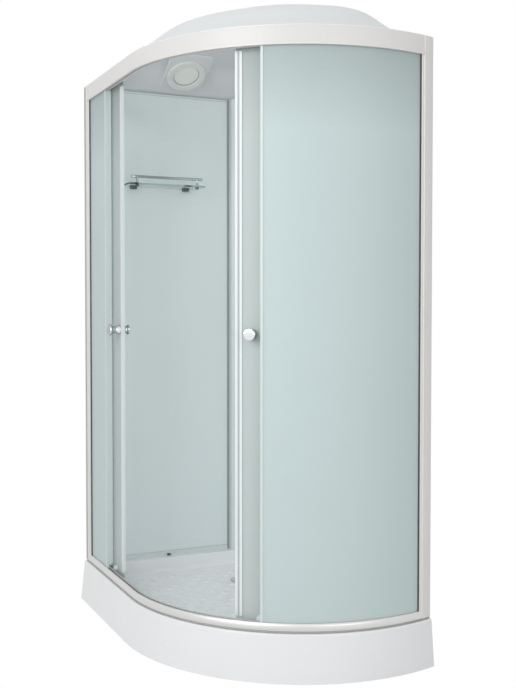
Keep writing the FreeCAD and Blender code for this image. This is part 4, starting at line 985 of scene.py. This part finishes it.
# ---------------------------------------------------------------- tray
@dataclass(frozen=True)
class Tray:
    """Skirt and floor pattern of the tray.

    Attributes:
        skirt_low: Lower edge of the skirt.
        skirt_top: Upper edge of the skirt.
        skirt_turn: Angle along the arc, in degrees, of the skirt's last whole section.
        flare: How far the skirt stands out at its foot.
        thick: Thickness of the skirt.
        floor: Height of the tray floor.
        rib: Length, width and height of one anti-slip rib.
        rib_levels: Share of the rib's outline and of its height at its foot, shoulder and top.
        pitch: Spacing of the ribs across and along the tray.
        first: x and y of the first rib.
        counts: Ribs in a row, and rows.
        margin: Distance of the ribs from the front and the walls.
        drain: x and y of the drain.
        drain_room: Radius round the drain without ribs.
    """

    skirt_low: float = 6 * MM
    skirt_top: float = 154 * MM
    skirt_turn: float = 105.6
    flare: float = 22 * MM
    thick: float = 4 * MM
    floor: float = 88 * MM
    rib: Point3 = (34 * MM, 7 * MM, 2.4 * MM)
    rib_levels: tuple[Point2, ...] = ((1.0, -1 / 6), (1.0, 0.5), (0.72, 1.0))
    pitch: Point2 = (66 * MM, 42 * MM)
    first: Point2 = (-313 * MM, -493 * MM)
    counts: tuple[int, int] = (18, 26)
    margin: float = 112 * MM
    drain: Point2 = (157 * MM, 307 * MM)
    drain_room: float = 78 * MM

    def skirt_outline(self) -> list[Point2]:
        """Section of the skirt, with a rolled top edge.

        Returns:
            Closed section as (inset, z).
        """
        top, ledge = self.skirt_top, self.skirt_top - self.thick
        corners = [
            (-self.flare, self.skirt_low), (self.thick - self.flare, self.skirt_low),
            (-3 * MM, top - 9 * MM), (0.5 * MM, ledge), (4 * MM, ledge), (4 * MM, top),
            (-4.2 * MM, top), (-7 * MM, top - 4 * MM), (-9.5 * MM, top - 30 * MM),
        ]
        radii = [1.5 * MM, 0.0, 2 * MM, 1 * MM, 0.0, 1 * MM, 3 * MM, 3 * MM, 40 * MM]
        return rounded(corners, radii, 6)

    def build_skirt(self) -> None:
        """Build the skirt round the front, cut off at the side wall plane."""
        outline = self.skirt_outline()
        rings = [PLAN.section(run, outline) for run in PLAN.stations(0.0, PLAN.run_at(self.skirt_turn))]
        rings.append([(*PLAN.point(PLAN.wall_run(inset), inset), z) for inset, z in outline])
        fit(new_object("skirt", *skin(rings)), Coating.skirt_enamel, instead_of=["tray_apron"])

    def _inside(self, x: float, y: float) -> bool:
        """Tell whether a rib may stand at a floor point.

        Args:
            x: Position across the tray.
            y: Position along the tray.

        Returns:
            True if it may.
        """
        if math.hypot(x - self.drain[0], y - self.drain[1]) < self.drain_room:
            return False
        if y > PLAN.back - self.margin or x > PLAN.side - self.margin:
            return False
        if y > PLAN.centre[1]:
            return x > PLAN.left + self.margin
        reach = math.hypot(x - PLAN.centre[0], y - PLAN.centre[1])
        front = PLAN.centre[1] - PLAN.radius + self.margin
        return reach < PLAN.radius - self.margin or x > PLAN.centre[0] and y > front

    def build_ribs(self) -> None:
        """Build the rows of short anti-slip ribs on the floor, as one piece."""
        long, wide, tall = self.rib
        almost_round = wide / 2 * 0.95
        outline = rounded(rectangle((-long / 2, -wide / 2), (long / 2, wide / 2)), almost_round, 4)
        verts: list[Sequence[float]] = []
        faces: list[tuple[int, ...]] = []
        columns, rows = self.counts
        for row in range(rows):
            y = self.first[1] + row * self.pitch[1]
            shift = self.pitch[0] / 2 if row % 2 else 0.0
            for column in range(columns):
                x = self.first[0] + shift + column * self.pitch[0]
                if not self._inside(x, y):
                    continue
                rib_verts, rib_faces = skin([
                    [(x + px * share, y + py * share, self.floor + tall * rise) for px, py in outline]
                    for share, rise in self.rib_levels
                ])
                faces += [tuple(index + len(verts) for index in face) for face in rib_faces]
                verts += rib_verts
        fit(new_object("floor_ribs", verts, faces, 50.0), Coating.enamel)

    def build(self) -> None:
        """Build all of the tray's looks."""
        self.build_skirt()
        self.build_ribs()


# ---------------------------------------------------------------- frame
@dataclass(frozen=True)
class Rails:
    """The two curved rails.

    Attributes:
        depth: Depth of both rails.
        low_head: Head of the bottom rail.
        high_foot: Foot of the top rail.
        track: Inset of the middle of the running bead.
        low_bead: Head of the lower bead.
        top_bead: Head of the upper bead.
    """

    depth: float = 22 * MM
    low_head: float = 184 * MM
    high_foot: float = 1930 * MM
    track: float = 31.5 * MM
    low_bead: float = 176 * MM
    top_bead: float = 1948 * MM

    def _track_side(self, bead_top: float) -> list[Point2]:
        """Ledge and bead on the inner side of a rail, from its foot up.

        Args:
            bead_top: Head of the bead.

        Returns:
            Section points.
        """
        low = bead_top - 8 * MM
        ledge = low + 4 * MM
        tip, outer, inner = (self.track + reach for reach in (2.5 * MM, 1.5 * MM, -1.5 * MM))
        return [
            (self.depth, low), (tip, low), (tip, ledge), (outer, ledge), (outer, bead_top),
            (inner, bead_top), (inner, ledge), (self.depth, ledge),
        ]

    def bottom_outline(self) -> list[Point2]:
        """Section of the bottom rail: a full round towards the room.

        Returns:
            Closed section as (inset, z).
        """
        foot, head = PLAN.foot, self.low_head
        front, rear = PLAN.groove
        seat = foot + 14 * MM
        corners = [(0.8 * MM, foot), (self.depth, foot), *self._track_side(self.low_bead),
                   (self.depth, head), (rear, head), (rear, seat), (front, seat), (front, head),
                   (5 * MM, head), (1 * MM, head - 6 * MM), (0.0, foot + 10 * MM)]
        radii = [2.5 * MM] + [0.3 * MM] * 9 + [1 * MM, 0.3 * MM, 0.0, 0.0, 0.3 * MM, 3 * MM, 8 * MM, 9 * MM]
        return rounded(corners, radii, 5)

    def top_outline(self) -> list[Point2]:
        """Section of the top rail: a tall face over a narrow lip.

        Returns:
            Closed section as (inset, z).
        """
        foot, head = self.high_foot, PLAN.head
        front, rear = PLAN.groove
        seat, step = foot + 20 * MM, foot + 8 * MM
        corners = [(0.0, foot), (front, foot), (front, seat), (rear, seat), (rear, foot),
                   (self.depth, foot), *self._track_side(self.top_bead), (self.depth, head),
                   (1.6 * MM, head), (1.6 * MM, step), (0.0, step)]
        radii = [0.8 * MM, 0.3 * MM, 0.0, 0.0, 0.3 * MM, 0.6 * MM] + [0.3 * MM] * 8 + [
            0.8 * MM, 2.2 * MM, 0.5 * MM, 0.8 * MM]
        return rounded(corners, radii, 4)

    def build(self) -> None:
        """Build both rails."""
        start = PLAN.post_run
        end = PLAN.run_at(PLAN.post_angle)
        bottom = sweep("sill_rail", self.bottom_outline(), start, end)
        fit(bottom, Coating.satin_alloy, instead_of=["bottom_rail"])
        top = sweep("head_rail", self.top_outline(), start, end)
        fit(top, Coating.white_frame, instead_of=["top_rail"])


@dataclass(frozen=True)
class Posts:
    """The two upright end profiles, and the joint between the left one and the wall.

    Attributes:
        depth: Depth of the profile.
        lip: Width of the narrow lips beside the pane.
        lip_inset: Inset of the outer lip's face.
        lip_rear: Inset of the inner lip's rear face.
        line: Inset of both faces of the joint.
        line_run: Run of both ends of the joint.
        sharp: Edges that turn by more than this many degrees stay sharp.
    """

    depth: float = 26 * MM
    lip: float = 9 * MM
    lip_inset: float = 3 * MM
    lip_rear: float = 22 * MM
    line: Point2 = (-0.3 * MM, 1 * MM)
    line_run: Point2 = (0.6 * MM, 20 * MM)
    sharp: float = 24.0

    def outline(self, width: float) -> list[Point2]:
        """Section of a post, from its outer end towards the pane.

        Args:
            width: Width of the profile without its lips.

        Returns:
            Closed section as (distance from the outer end, inset).
        """
        tip, root = width + self.lip, width - 2 * MM
        front, rear = PLAN.groove
        corners = [
            (0.0, 0.0), (width - 10 * MM, 0.0), (width - 9.4 * MM, 0.7 * MM), (width - 8.6 * MM, 0.7 * MM),
            (width - 8 * MM, 0.0), (width, 0.0), (width + 0.3 * MM, self.lip_inset),
            (tip, self.lip_inset), (tip, front), (root, front), (root, rear), (tip, rear),
            (tip, self.lip_rear), (width, self.lip_rear), (width, self.depth), (0.0, self.depth),
        ]
        radii = [2.5 * MM, 0.4 * MM, 0.2 * MM, 0.2 * MM, 0.4 * MM, 2.4 * MM, 0.5 * MM, 1.6 * MM,
                 0.3 * MM, 0.0, 0.0, 0.3 * MM, 0.6 * MM, 0.5 * MM, 0.8 * MM, 0.8 * MM]
        return rounded(corners, radii, 4)

    def build(self) -> None:
        """Build both posts and the joint."""
        end = PLAN.run_at(PLAN.end_angle)
        right_width = end - PLAN.run_at(PLAN.post_angle)
        sides = (
            ("left", [PLAN.point(run, inset) for run, inset in self.outline(PLAN.post_run)]),
            ("right", [PLAN.point(end - run, inset) for run, inset in self.outline(right_width)]),
        )
        for side, outline in sides:
            post = prism(side + "_upright", outline, PLAN.foot, PLAN.head)
            weld(post, self.sharp)
            fit(post, Coating.white_frame, instead_of=[side + "_post"])
        outer, inner = (PLAN.left + inset for inset in self.line)
        near, far = (PLAN.back - run for run in self.line_run)
        joint = block("left_wall_line", (outer, far, PLAN.foot), (inner, near, PLAN.head))
        fit(joint, Coating.joint_grey)


# ---------------------------------------------------------------- doors
@dataclass(frozen=True)
class Knobs:
    """The turned pulls on both faces of both doors.

    Attributes:
        height: Height of their axis.
        left_run: Run of the left pair.
        right_angle: Angle along the arc of the right pair, in degrees.
        inner_seat: Inset at which the inner pulls start.
        segments: Sides of the turned pieces.
        outer: Profile of an outer pull, as (radius, reach from the pane) in millimetres.
        inner: The same of an inner pull.
    """

    height: float = 1062 * MM
    left_run: float = 328 * MM
    right_angle: float = 49.718
    inner_seat: float = 43.35 * MM
    segments: int = 64
    outer: tuple[Point2, ...] = (
        (0, 42), (12, 42), (15.4, 41.9), (17.4, 41.4), (18.8, 40.4), (19.45, 39), (19.5, 37.4), (19.4, 36),
        (18.6, 34.4), (17, 32.6), (15.2, 30.2), (13.7, 27.4), (12.7, 24), (12.3, 20.4), (12.4, 17),
        (12.9, 13.4), (13.9, 10), (15.2, 7), (16.2, 4.9), (16.5, 3.4), (16.5, 1.2), (16.1, 0.3), (4.8, 0),
        (4.8, -5.3), (0, -5.3),
    )
    inner: tuple[Point2, ...] = (
        (0, 27), (12, 27), (15, 26.8), (16.8, 26.2), (17.8, 25.1), (18, 24), (17.7, 22.8), (16.6, 21.4),
        (14.8, 19.6), (13, 17), (12, 14), (12.1, 11), (12.8, 8.4), (14, 6), (14.9, 4.2), (15, 1.2),
        (14.6, 0.3), (13.8, 0), (0, 0),
    )

    def build(self) -> None:
        """Build both pairs."""
        for side, run in (("left", self.left_run), ("right", PLAN.run_at(self.right_angle))):
            inward = inwards(run)
            for face, profile, seat, way in (
                ("outer", self.outer, PLAN.door_face, -inward),
                ("inner", self.inner, self.inner_seat, inward),
            ):
                place = axis_place((*PLAN.point(run, seat), self.height), way)
                knob = lathe(f"{side}_{face}_pull", metres(profile), place, self.segments)
                fit(knob, Coating.chrome, f"{side}_door", [f"{side}_knob_{face}"])


@dataclass(frozen=True)
class SealGrooveShade:
    """Grey strip of painted shade in the groove between both ridges of the right door's leading seal.

    Attributes:
        nose: Angle of the door's leading edge along the arc, in degrees.
        span: Distance of both sides of the strip from the leading edge.
        insets: Inset of its front and its rear face.
        heights: Its lower and upper end.
    """

    nose: float = 44.35
    span: Point2 = (8.3 * MM, 13.5 * MM)
    insets: Point2 = (35.3 * MM, 36.45 * MM)
    heights: Point2 = (189 * MM, 1925 * MM)

    def build(self) -> None:
        """Build the strip of painted shade."""
        reach = PLAN.radius - PLAN.door_face
        runs = [PLAN.run_at(self.nose + math.degrees(distance / reach)) for distance in self.span]
        front, rear = self.insets
        outline = [PLAN.point(runs[0], front), PLAN.point(runs[1], front),
                   PLAN.point(runs[1], rear), PLAN.point(runs[0], rear)]
        fit(prism("right_seal_groove_shade", outline, *self.heights), Coating.seal_inlay, "right_door")


# ---------------------------------------------------------------- walls
@dataclass(frozen=True)
class Walls:
    """Seams, strips of painted shadow and small fittings of the two walls.

    Attributes:
        back_face: y of the back wall's face.
        side_face: x of the side wall's face.
        back_span: x at which the back wall's sheet starts and ends.
        side_span: y at which the side wall's sheet starts and ends.
        trim: Height of the head trim.
        behind: How far the strips go into the sheets.
        clip: Corners of the clip, as x, distance from the back wall's face and height above the foot.
        edge: Rounding of the clip.
        softened: Nodes whose edges are rounded.
        softening: Width of that rounding.
    """

    back_face: float = 587 * MM
    side_face: float = 391 * MM
    back_span: Point2 = (-361 * MM, 201 * MM)
    side_span: Point2 = (-515 * MM, 547 * MM)
    trim: float = 9 * MM
    behind: float = 1 * MM
    clip: tuple[Point3, Point3] = ((-63 * MM, 7 * MM, -18 * MM), (-49 * MM, 1.9 * MM, -9 * MM))
    edge: float = 1 * MM
    softened: tuple[str, ...] = ("corner_column", "wall_joint_profile", "wall_trims")
    softening: float = 0.8 * MM

    def seam(self, name: str, low: float, high: float, proud: float, coating: Coating) -> None:
        """Run a thin strip along the back wall and along the side wall.

        Args:
            name: Name of the strips.
            low: Lower edge.
            high: Upper edge.
            proud: How far it stands out of the sheets.
            coating: Its coating.
        """
        spans = (
            ((self.back_span[0], self.back_face - proud), (self.back_span[1], self.back_face + self.behind)),
            ((self.side_face - proud, self.side_span[0]), (self.side_face + self.behind, self.side_span[1])),
        )
        for number, (near, far) in enumerate(spans):
            fit(block(f"{name}_{number}", (*near, low), (*far, high)), coating)

    def build_clip(self) -> None:
        """Small dark clip that holds the back wall to the ledge."""
        low, high = ((x, self.back_face - y, PLAN.foot + z) for x, y, z in self.clip)
        fit(block("wall_clip", low, high, self.edge), Coating.dark_plastic)

    def build(self) -> None:
        """Build the foot seam, the strips of painted shadow and the clip."""
        head, trim, foot = PLAN.head, PLAN.head - self.trim, PLAN.foot
        for name, low, high, proud, coating in (
            # painted shadow: dark strips along the joints under the roof and under the trim's edge, where
            # shade falls
            ("head_shadow_line", head - 2.2 * MM, head - 0.2 * MM, 2.6 * MM, Coating.joint_grey),
            ("trim_shadow_line", trim - 0.8 * MM, trim + 0.4 * MM, 0.3 * MM, Coating.joint_grey),
            ("foot_seam", foot - 0.6 * MM, foot + 0.9 * MM, 2.2 * MM, Coating.wall_frame),
        ):
            self.seam(name, low, high, proud, coating)
        self.build_clip()
        for node in self.softened:
            soften(frame["nodes"][node], self.softening)


# ---------------------------------------------------------------- shelf
@dataclass(frozen=True)
class Shelf:
    """Glass shelf with its guard bar.

    Attributes:
        middle: x of its middle.
        long: Length of the pane.
        front: y of the pane's front edge.
        rear: y of its rear edge.
        top: Height of its upper face.
        thick: Thickness of the pane.
        corners: Radius of each corner of the pane.
        ground: Width of the pane's ground edge.
        bar_height: Height of the guard bar's axis.
        bar_inset: Distance of the bar from the pane's edges.
        bar_radius: Radius of the guard bar.
        bar_dome: Height of the bar's domed ends, as a share of its radius.
        dome_turns: Angles of the points on a domed end, in degrees.
        post_reach: Distance of the bar's posts from the middle.
        post_short: Distance of a post's head below the bar's axis.
        post: Profile of a post's foot, as (radius, height) in millimetres.
        edge: Rounding of the brackets.
    """

    middle: float = -92 * MM
    long: float = 318 * MM
    front: float = 477 * MM
    rear: float = 583 * MM
    top: float = 1618 * MM
    thick: float = 6 * MM
    corners: tuple[float, ...] = (14 * MM, 14 * MM, 2 * MM, 2 * MM)
    ground: float = 0.7 * MM
    bar_height: float = 1643 * MM
    bar_inset: float = 12 * MM
    bar_radius: float = 5.5 * MM
    bar_dome: float = 0.6
    dome_turns: tuple[float, ...] = (0, 20, 40, 60, 78)
    post_reach: float = 123 * MM
    post_short: float = 2 * MM
    post: tuple[Point2, ...] = ((0, 0), (7, 0), (7, 2.6), (6.4, 3.6), (4.6, 4.2), (4, 5.4))
    edge: float = 1 * MM

    def build_pane(self) -> None:
        """Build the pane with rounded front corners and ground edges."""
        half = self.long / 2
        outline = rectangle((self.middle - half, self.front), (self.middle + half, self.rear))
        pane = prism("shelf_pane", rounded(outline, self.corners, 8), self.top - self.thick, self.top)
        soften(pane, self.ground)
        fit(pane, Coating.clear_glass, instead_of=["shelf_glass"])

    def build_guard(self) -> None:
        """Build the guard bar with domed ends on two turned posts."""
        bar_y = self.front + self.bar_inset
        half = self.long / 2 - self.bar_inset
        rise = self.bar_radius * self.bar_dome
        dome = []
        for turn in map(math.radians, self.dome_turns):
            dome.append((self.bar_radius * math.cos(turn), half - rise * (1 - math.sin(turn))))
        profile = [(0.0, half), *dome[::-1], *((radius, -reach) for radius, reach in dome), (0.0, -half)]
        place = axis_place((self.middle, bar_y, self.bar_height), (1.0, 0.0, 0.0))
        fit(lathe("guard_bar", profile, place, 40), Coating.chrome, instead_of=["shelf_guard_rail"])
        head = self.bar_height - self.top - self.post_short
        points = metres(self.post)
        points += [(points[-1][0], head), (0.0, head)]
        for number, reach in enumerate((-self.post_reach, self.post_reach)):
            place = axis_place((self.middle + reach, bar_y, self.top), (0.0, 0.0, 1.0))
            fit(lathe(f"guard_post_{number}", points, place, 32), Coating.chrome)

    def build(self) -> None:
        """Build the shelf."""
        self.build_pane()
        self.build_guard()
        soften(frame["nodes"]["shelf_brackets"], self.edge, 3)


# ---------------------------------------------------------------- roof
@dataclass(frozen=True)
class Roof:
    """Rounded hollow roof.

    Attributes:
        thick: Thickness of the shell.
        flange: Front inset, wall inset and corner radius of the flange's edge.
        lip: The same of the upright lip.
        lip_top: Height of the lip's upper edge.
        levels: Height, wall inset and corner radius of the dome, from its foot upwards.
        offset: Front inset less wall inset of the dome.
        steps: Levels drawn for each given one.
        counts: Segments of a wall corner, of the front and of the front's corner.
        sharp: Edges that turn by more than this many degrees stay sharp.
    """

    thick: float = 3 * MM
    flange: Point3 = (3 * MM, 1 * MM, 4 * MM)
    lip: Point3 = (16 * MM, 18 * MM, 20 * MM)
    lip_top: float = 1991 * MM
    levels: tuple[Point3, ...] = (
        (1.996, 0.031, 0.137), (2.033, 0.071, 0.128), (2.081, 0.121, 0.117), (2.103, 0.181, 0.104),
        (2.129, 0.261, 0.087), (2.150, 0.361, 0.030),
    )
    offset: float = 16 * MM
    steps: int = 6
    counts: tuple[int, int, int] = (14, 64, 18)
    sharp: float = 30.0

    def ring(self, front: float, wall: float, corner: float, height: float) -> list[Point3]:
        """One level of the roof: the plan drawn in, with rounded corners.

        Args:
            front: Inset from the curved front.
            wall: Inset from both wall planes.
            corner: Radius of the three corners.
            height: Height of the level.

        Returns:
            A closed ring of points, always the same count.
        """
        left, side, back = PLAN.left + front, PLAN.side - wall, PLAN.back - wall
        reach = PLAN.radius - front
        core_x = side - corner
        away = PLAN.centre[0] - core_x
        core_y = PLAN.centre[1] - math.sqrt(max((reach - corner) ** 2 - away**2, 0.0))
        meet = math.pi + math.atan2(PLAN.centre[1] - core_y, away)
        quarter = math.pi / 2
        wall_count, front_count, corner_count = self.counts
        plan = arc((left + corner, back - corner), corner, quarter, math.pi, wall_count)
        plan += arc(PLAN.centre, reach, math.pi, meet, front_count)
        plan += arc((core_x, core_y), corner, meet, math.tau, corner_count)
        plan += arc((core_x, back - corner), corner, 0.0, quarter, wall_count)
        return [(x, y, height) for x, y in plan]

    def _dome(self) -> list[tuple[float, ...]]:
        """Dome levels with smooth steps between the given ones.

        Returns:
            Height, wall inset and corner radius of each level.
        """
        given = self.levels
        smooth: list[tuple[float, ...]] = []
        for index in range(len(given) - 1):
            four = [given[max(index - 1, 0)], given[index], given[index + 1],
                    given[min(index + 2, len(given) - 1)]]
            for step in range(self.steps):
                t = step / self.steps
                smooth.append(tuple(
                    b + 0.5 * t * (c - a + t * (2 * a - 5 * b + 4 * c - d + t * (3 * (b - c) + d - a)))
                    for a, b, c, d in zip(*four)
                ))
        smooth.append(given[-1])
        return smooth

    def build(self) -> None:
        """Build the shell: flange, lip and dome, outside and inside."""
        thick, foot = self.thick, PLAN.head
        front, wall, corner = self.lip
        outside = [
            self.ring(*self.flange, foot), self.ring(*self.flange, foot + thick),
            self.ring(*self.lip, foot + thick), self.ring(*self.lip, self.lip_top),
        ]
        inside = [
            self.ring(front + thick, wall + thick, corner - thick, height)
            for height in (foot, self.lip_top - thick)
        ]
        for height, inset, bend in self._dome():
            outside.append(self.ring(inset + self.offset, inset, bend, height))
            inner = inset + thick
            inside.append(self.ring(inner + self.offset, inner, bend - thick, height - thick))
        shell = new_object("dome", *skin(outside[::-1] + inside), self.sharp)
        weld(shell, self.sharp)
        fit(shell, Coating.white_plastic, instead_of=["roof_shell"])

    def ceiling(self, x: float, y: float) -> float:
        """Height of the inside of the dome over a point away from its corners.

        Args:
            x: Position across.
            y: Position along.

        Returns:
            Height of the ceiling.
        """
        wall = min(PLAN.side - x, PLAN.back - y)
        front = x - PLAN.left - self.offset
        depth = min(wall, front) - self.thick
        given = self.levels
        for (low, near, _), (high, far, _) in zip(given, given[1:]):
            if depth <= far:
                return low + (high - low) * (depth - near) / (far - near) - self.thick
        return given[-1][0] - self.thick


@dataclass(frozen=True)
class Lamp:
    """Flat round lamp on a raised seat under the roof.

    Attributes:
        centre: Centre of the lamp's back.
        tilt: Rise of its seat from the back wall, in degrees.
        seat: Width and length of the seat.
        seat_corner: Radius of the seat's corners.
        seat_back: Distance of the seat's middle behind the lamp's.
        seat_steps: Inset and lift of the levels of the seat's rounded edge.
        climb: Step in which the seat rises to the ceiling, and how far it goes into it.
        climbs: Most steps that it takes.
        sharp: Edges of the seat that turn by more than this many degrees stay sharp.
        segments: Sides of the turned pieces.
        bezel: Profile of the ring, as (radius, reach) in millimetres.
        lens: The same of the lens.
        gap: The same of a dark ring of painted shade on the recess wall between both.
    """

    centre: Point3 = (-13 * MM, 490 * MM, 2044.5 * MM)
    tilt: float = 33.0
    seat: Point2 = (172 * MM, 192 * MM)
    seat_corner: float = 22 * MM
    seat_back: float = 10 * MM
    seat_steps: tuple[Point2, ...] = ((4 * MM, 0.0), (1.2 * MM, 0.8 * MM), (0.0, 3.4 * MM))
    climb: float = 1 * MM
    climbs: int = 80
    sharp: float = 40.0
    segments: int = 72
    bezel: tuple[Point2, ...] = (
        (50, 6), (61, 6), (61, 0), (77, 0), (77, -4.6), (76.5, -6.4), (75.2, -7.6), (73.4, -8),
        (55.4, -8), (53.6, -7.4), (52.4, -6), (50.4, -1.6), (50, 0), (50, 6),
    )
    lens: tuple[Point2, ...] = (
        (0, -1.6), (18, -1.5), (34, -1.1), (46, -0.5), (49, -0.1), (50, 0.6), (50, 3), (0, 3)
    )
    gap: tuple[Point2, ...] = ((48.6, -0.6), (51.6, -3.4), (51.9, -3.2), (49.4, 0.2), (48.6, -0.6))

    def build_seat(self, roof: Roof) -> None:
        """Build the raised pad under the lamp, from its face up to the ceiling.

        Args:
            roof: The roof that the pad rises to.
        """
        tilt = math.radians(self.tilt)
        up = Vector((0.0, math.sin(tilt), math.cos(tilt)))
        slope = Vector((0.0, math.cos(tilt), -math.sin(tilt)))
        half_wide, half_long = self.seat[0] / 2, self.seat[1] / 2
        outline = rounded(rectangle((-half_wide, -half_long), (half_wide, half_long)), self.seat_corner, 8)
        middle = Vector(self.centre) - slope * self.seat_back
        rings = []
        for inset, lift in self.seat_steps:
            shrink = 1 - inset / half_wide
            rings.append([
                middle + Vector((x * shrink, 0, 0)) + slope * (y * shrink) + up * lift for x, y in outline
            ])
        top = [spot.copy() for spot in rings[-1]]
        for spot in top:
            for _ in range(self.climbs):
                if spot.z >= roof.ceiling(spot.x, spot.y) + self.climb:
                    break
                spot += up * self.climb
        pad = new_object("lamp_seat", *skin([*rings, top]), self.sharp)
        weld(pad, self.sharp)
        fit(pad, Coating.white_plastic)

    def build(self) -> None:
        """Build the seat, the flat ring, the lens set back in it and the ring of painted shade between them.
        """
        self.build_seat(Roof())
        tilt = math.radians(self.tilt)
        place = axis_place(self.centre, (0.0, math.sin(tilt), math.cos(tilt)))
        for name, profile, coating, nodes in (
            # painted light: the ring's finish glows faintly
            ("lamp_ring", self.bezel, Coating.lamp_rim, ["lamp_bezel"]),
            ("lamp_disc", self.lens, Coating.lamp_face, ["lamp_lens"]),
            # painted shade: a dark ring where the wall of the lens recess is in shade
            ("lamp_recess_shade", self.gap, Coating.joint_grey, []),
        ):
            fit(lathe(name, metres(profile), place, self.segments), coating, instead_of=nodes)


@dataclass(frozen=True)
class Edges:
    """Small roundings on moulded and cut CAD pieces.

    Attributes:
        widths: Width of the rounding of each node.
    """

    widths: tuple[tuple[str, float], ...] = (
        ("left_door_magnet_seal", 0.8 * MM), ("right_door_magnet_seal", 0.8 * MM),
        ("left_door_rear_seal", 0.5 * MM), ("right_door_rear_seal", 0.5 * MM),
        ("fixed_glass_seals", 0.6 * MM), ("left_door_carriers", 0.6 * MM),
        ("right_door_carriers", 0.6 * MM), ("tray_support_frame", 1.5 * MM), ("apron_clips", 1 * MM),
        ("foot_nuts", 0.5 * MM), ("mixer_body", 0.8 * MM), ("mixer_cap", 0.8 * MM),
        ("mixer_lever", 1.2 * MM), ("tray_basin", 2 * MM),
    )

    def build(self) -> None:
        """Put the roundings on."""
        for node, width in self.widths:
            soften(frame["nodes"][node], width)


# ---------------------------------------------------------------- studio
def stand(thing: bpy.types.Object, place: Point3, look: Vector) -> None:
    """Put a camera or light in its place.

    Args:
        thing: The camera or light.
        place: Its position.
        look: Direction it faces.
    """
    thing.location = place
    thing.rotation_mode = "QUATERNION"
    thing.rotation_quaternion = look.to_track_quat("-Z", "Y")
    bpy.context.scene.collection.objects.link(thing)


@dataclass(frozen=True)
class Softbox:
    """A square soft light.

    Attributes:
        name: Light name.
        place: Its position.
        size: Side length.
        power: Power in watts.
    """

    name: str
    place: Point3
    size: float
    power: float

    def build(self, target: Point3) -> None:
        """Add the light.

        Args:
            target: Point it faces.
        """
        data = bpy.data.lights.new(self.name, "AREA")
        data.shape = "SQUARE"
        data.size = self.size
        data.energy = self.power
        stand(bpy.data.objects.new(self.name, data), self.place, Vector(target) - Vector(self.place))


@dataclass(frozen=True)
class Studio:
    """Camera, floor and lights.

    Attributes:
        place: Camera position.
        azimuth: Direction of view from +Y towards +X, in degrees.
        dip: Angle of view below the horizon, in degrees.
        lens: Focal length in millimetres.
        sensor: Length in millimetres of the picture's long side at that focal length.
        shift: Camera shift.
        clip: Nearest and farthest distance that the camera sees.
        middle: Point that the lights face.
        lights: The soft lights.
        daylight: Strength of the surroundings that light the cabin.
        ground: Colour of the surroundings below the horizon.
        horizon: Heights between which they turn white.
        floor_reach: Distance of the floor's edges from the middle.
        floor_tone: Colour of the floor.
    """

    place: Point3 = (-1.4276, -3.189, 1.1565)
    azimuth: float = 24.728
    dip: float = 1.815
    lens: float = 52.33
    sensor: float = 36.0
    shift: Point2 = (0.0097, -0.0129)
    clip: Point2 = (0.05, 60.0)
    middle: Point3 = (0.0, 0.0, 1.1)
    lights: tuple[Softbox, ...] = (
        Softbox("key", (-4.0, -2.6, 2.4), 2.6, 115.0), Softbox("fill", (0.2, -4.6, 1.9), 2.4, 30.0)
    )
    daylight: float = 0.68
    ground: Colour = (0.62, 0.63, 0.64)
    horizon: Point2 = (-0.6, 0.8)
    floor_reach: float = 6.0
    floor_tone: Colour = (0.8, 0.8, 0.8)

    def build_camera(self) -> None:
        """Place the camera."""
        data = bpy.data.cameras.new("camera")
        data.lens = self.lens
        data.sensor_width = self.sensor
        data.shift_x, data.shift_y = self.shift
        data.clip_start, data.clip_end = self.clip
        camera = bpy.data.objects.new("camera", data)
        yaw, pitch = math.radians(self.azimuth), math.radians(self.dip)
        level = math.cos(pitch)
        look = Vector((math.sin(yaw) * level, math.cos(yaw) * level, -math.sin(pitch)))
        stand(camera, self.place, look)
        bpy.context.scene.camera = camera

    def build_world(self) -> None:
        """White surroundings for what is seen and softer ones for the lighting."""
        world = bpy.data.worlds.new("studio")
        bpy.context.scene.world = world
        graph = Graph.of(world)
        split = graph.add("SeparateXYZ", {0: graph.add("TexCoord").outputs["Generated"]})
        low, high = self.horizon
        level = graph.add("MapRange", {"Value": split.outputs["Z"], "From Min": low, "From Max": high})
        ramp = graph.add("ValToRGB", {0: level.outputs[0]})
        ramp.color_ramp.elements[0].color = (*self.ground, 1.0)
        ramp.color_ramp.elements[1].color = WHITE
        soft = graph.add("Background", {"Color": ramp.outputs[0], "Strength": self.daylight})
        white = graph.add("Background", {"Color": WHITE})
        graph.add("OutputWorld", {"Surface": graph.mixed(graph.seen(), soft, white)})

    def build_floor(self) -> None:
        """Pale floor that looks as white as the surroundings."""
        reach = self.floor_reach
        spots = [(x, y, 0.0) for x, y in rectangle((-reach, -reach), (reach, reach))]
        floor = new_object("floor", spots, [(0, 1, 2, 3)])
        material = bpy.data.materials.new("floor")
        graph = Graph.of(material)
        matt = graph.add("BsdfDiffuse", {"Color": (*self.floor_tone, 1.0)})
        white = graph.add("Emission", {"Color": WHITE})
        graph.add("OutputMaterial", {"Surface": graph.mixed(graph.seen(), matt, white)})
        floor.data.materials.append(material)

    def build(self) -> None:
        """Build the whole studio."""
        self.build_camera()
        self.build_world()
        self.build_floor()
        for light in self.lights:
            light.build(self.middle)
        bpy.context.scene.view_settings.view_transform = "Standard"


def corners(box: tuple[Vector, Vector]) -> list[list[float]]:
    """Plain lists of a box's corners.

    Args:
        box: Lowest and highest corner.

    Returns:
        The same corners as lists.
    """
    return [list(box[0]), list(box[1])]


def main() -> None:
    """Build the enclosure's looks and the studio, in order."""
    logging.basicConfig(level=logging.INFO)
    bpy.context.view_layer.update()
    WARDROBE.dress_frame()
    for assembly in (
        Tray(), Rails(), Posts(), Knobs(), SealGrooveShade(), Walls(), Shelf(), Roof(), Lamp(), Edges(), Studio()
    ):
        assembly.build()
        LOG.info("built %s", type(assembly).__name__)


if __name__ == "__main__":
    main()
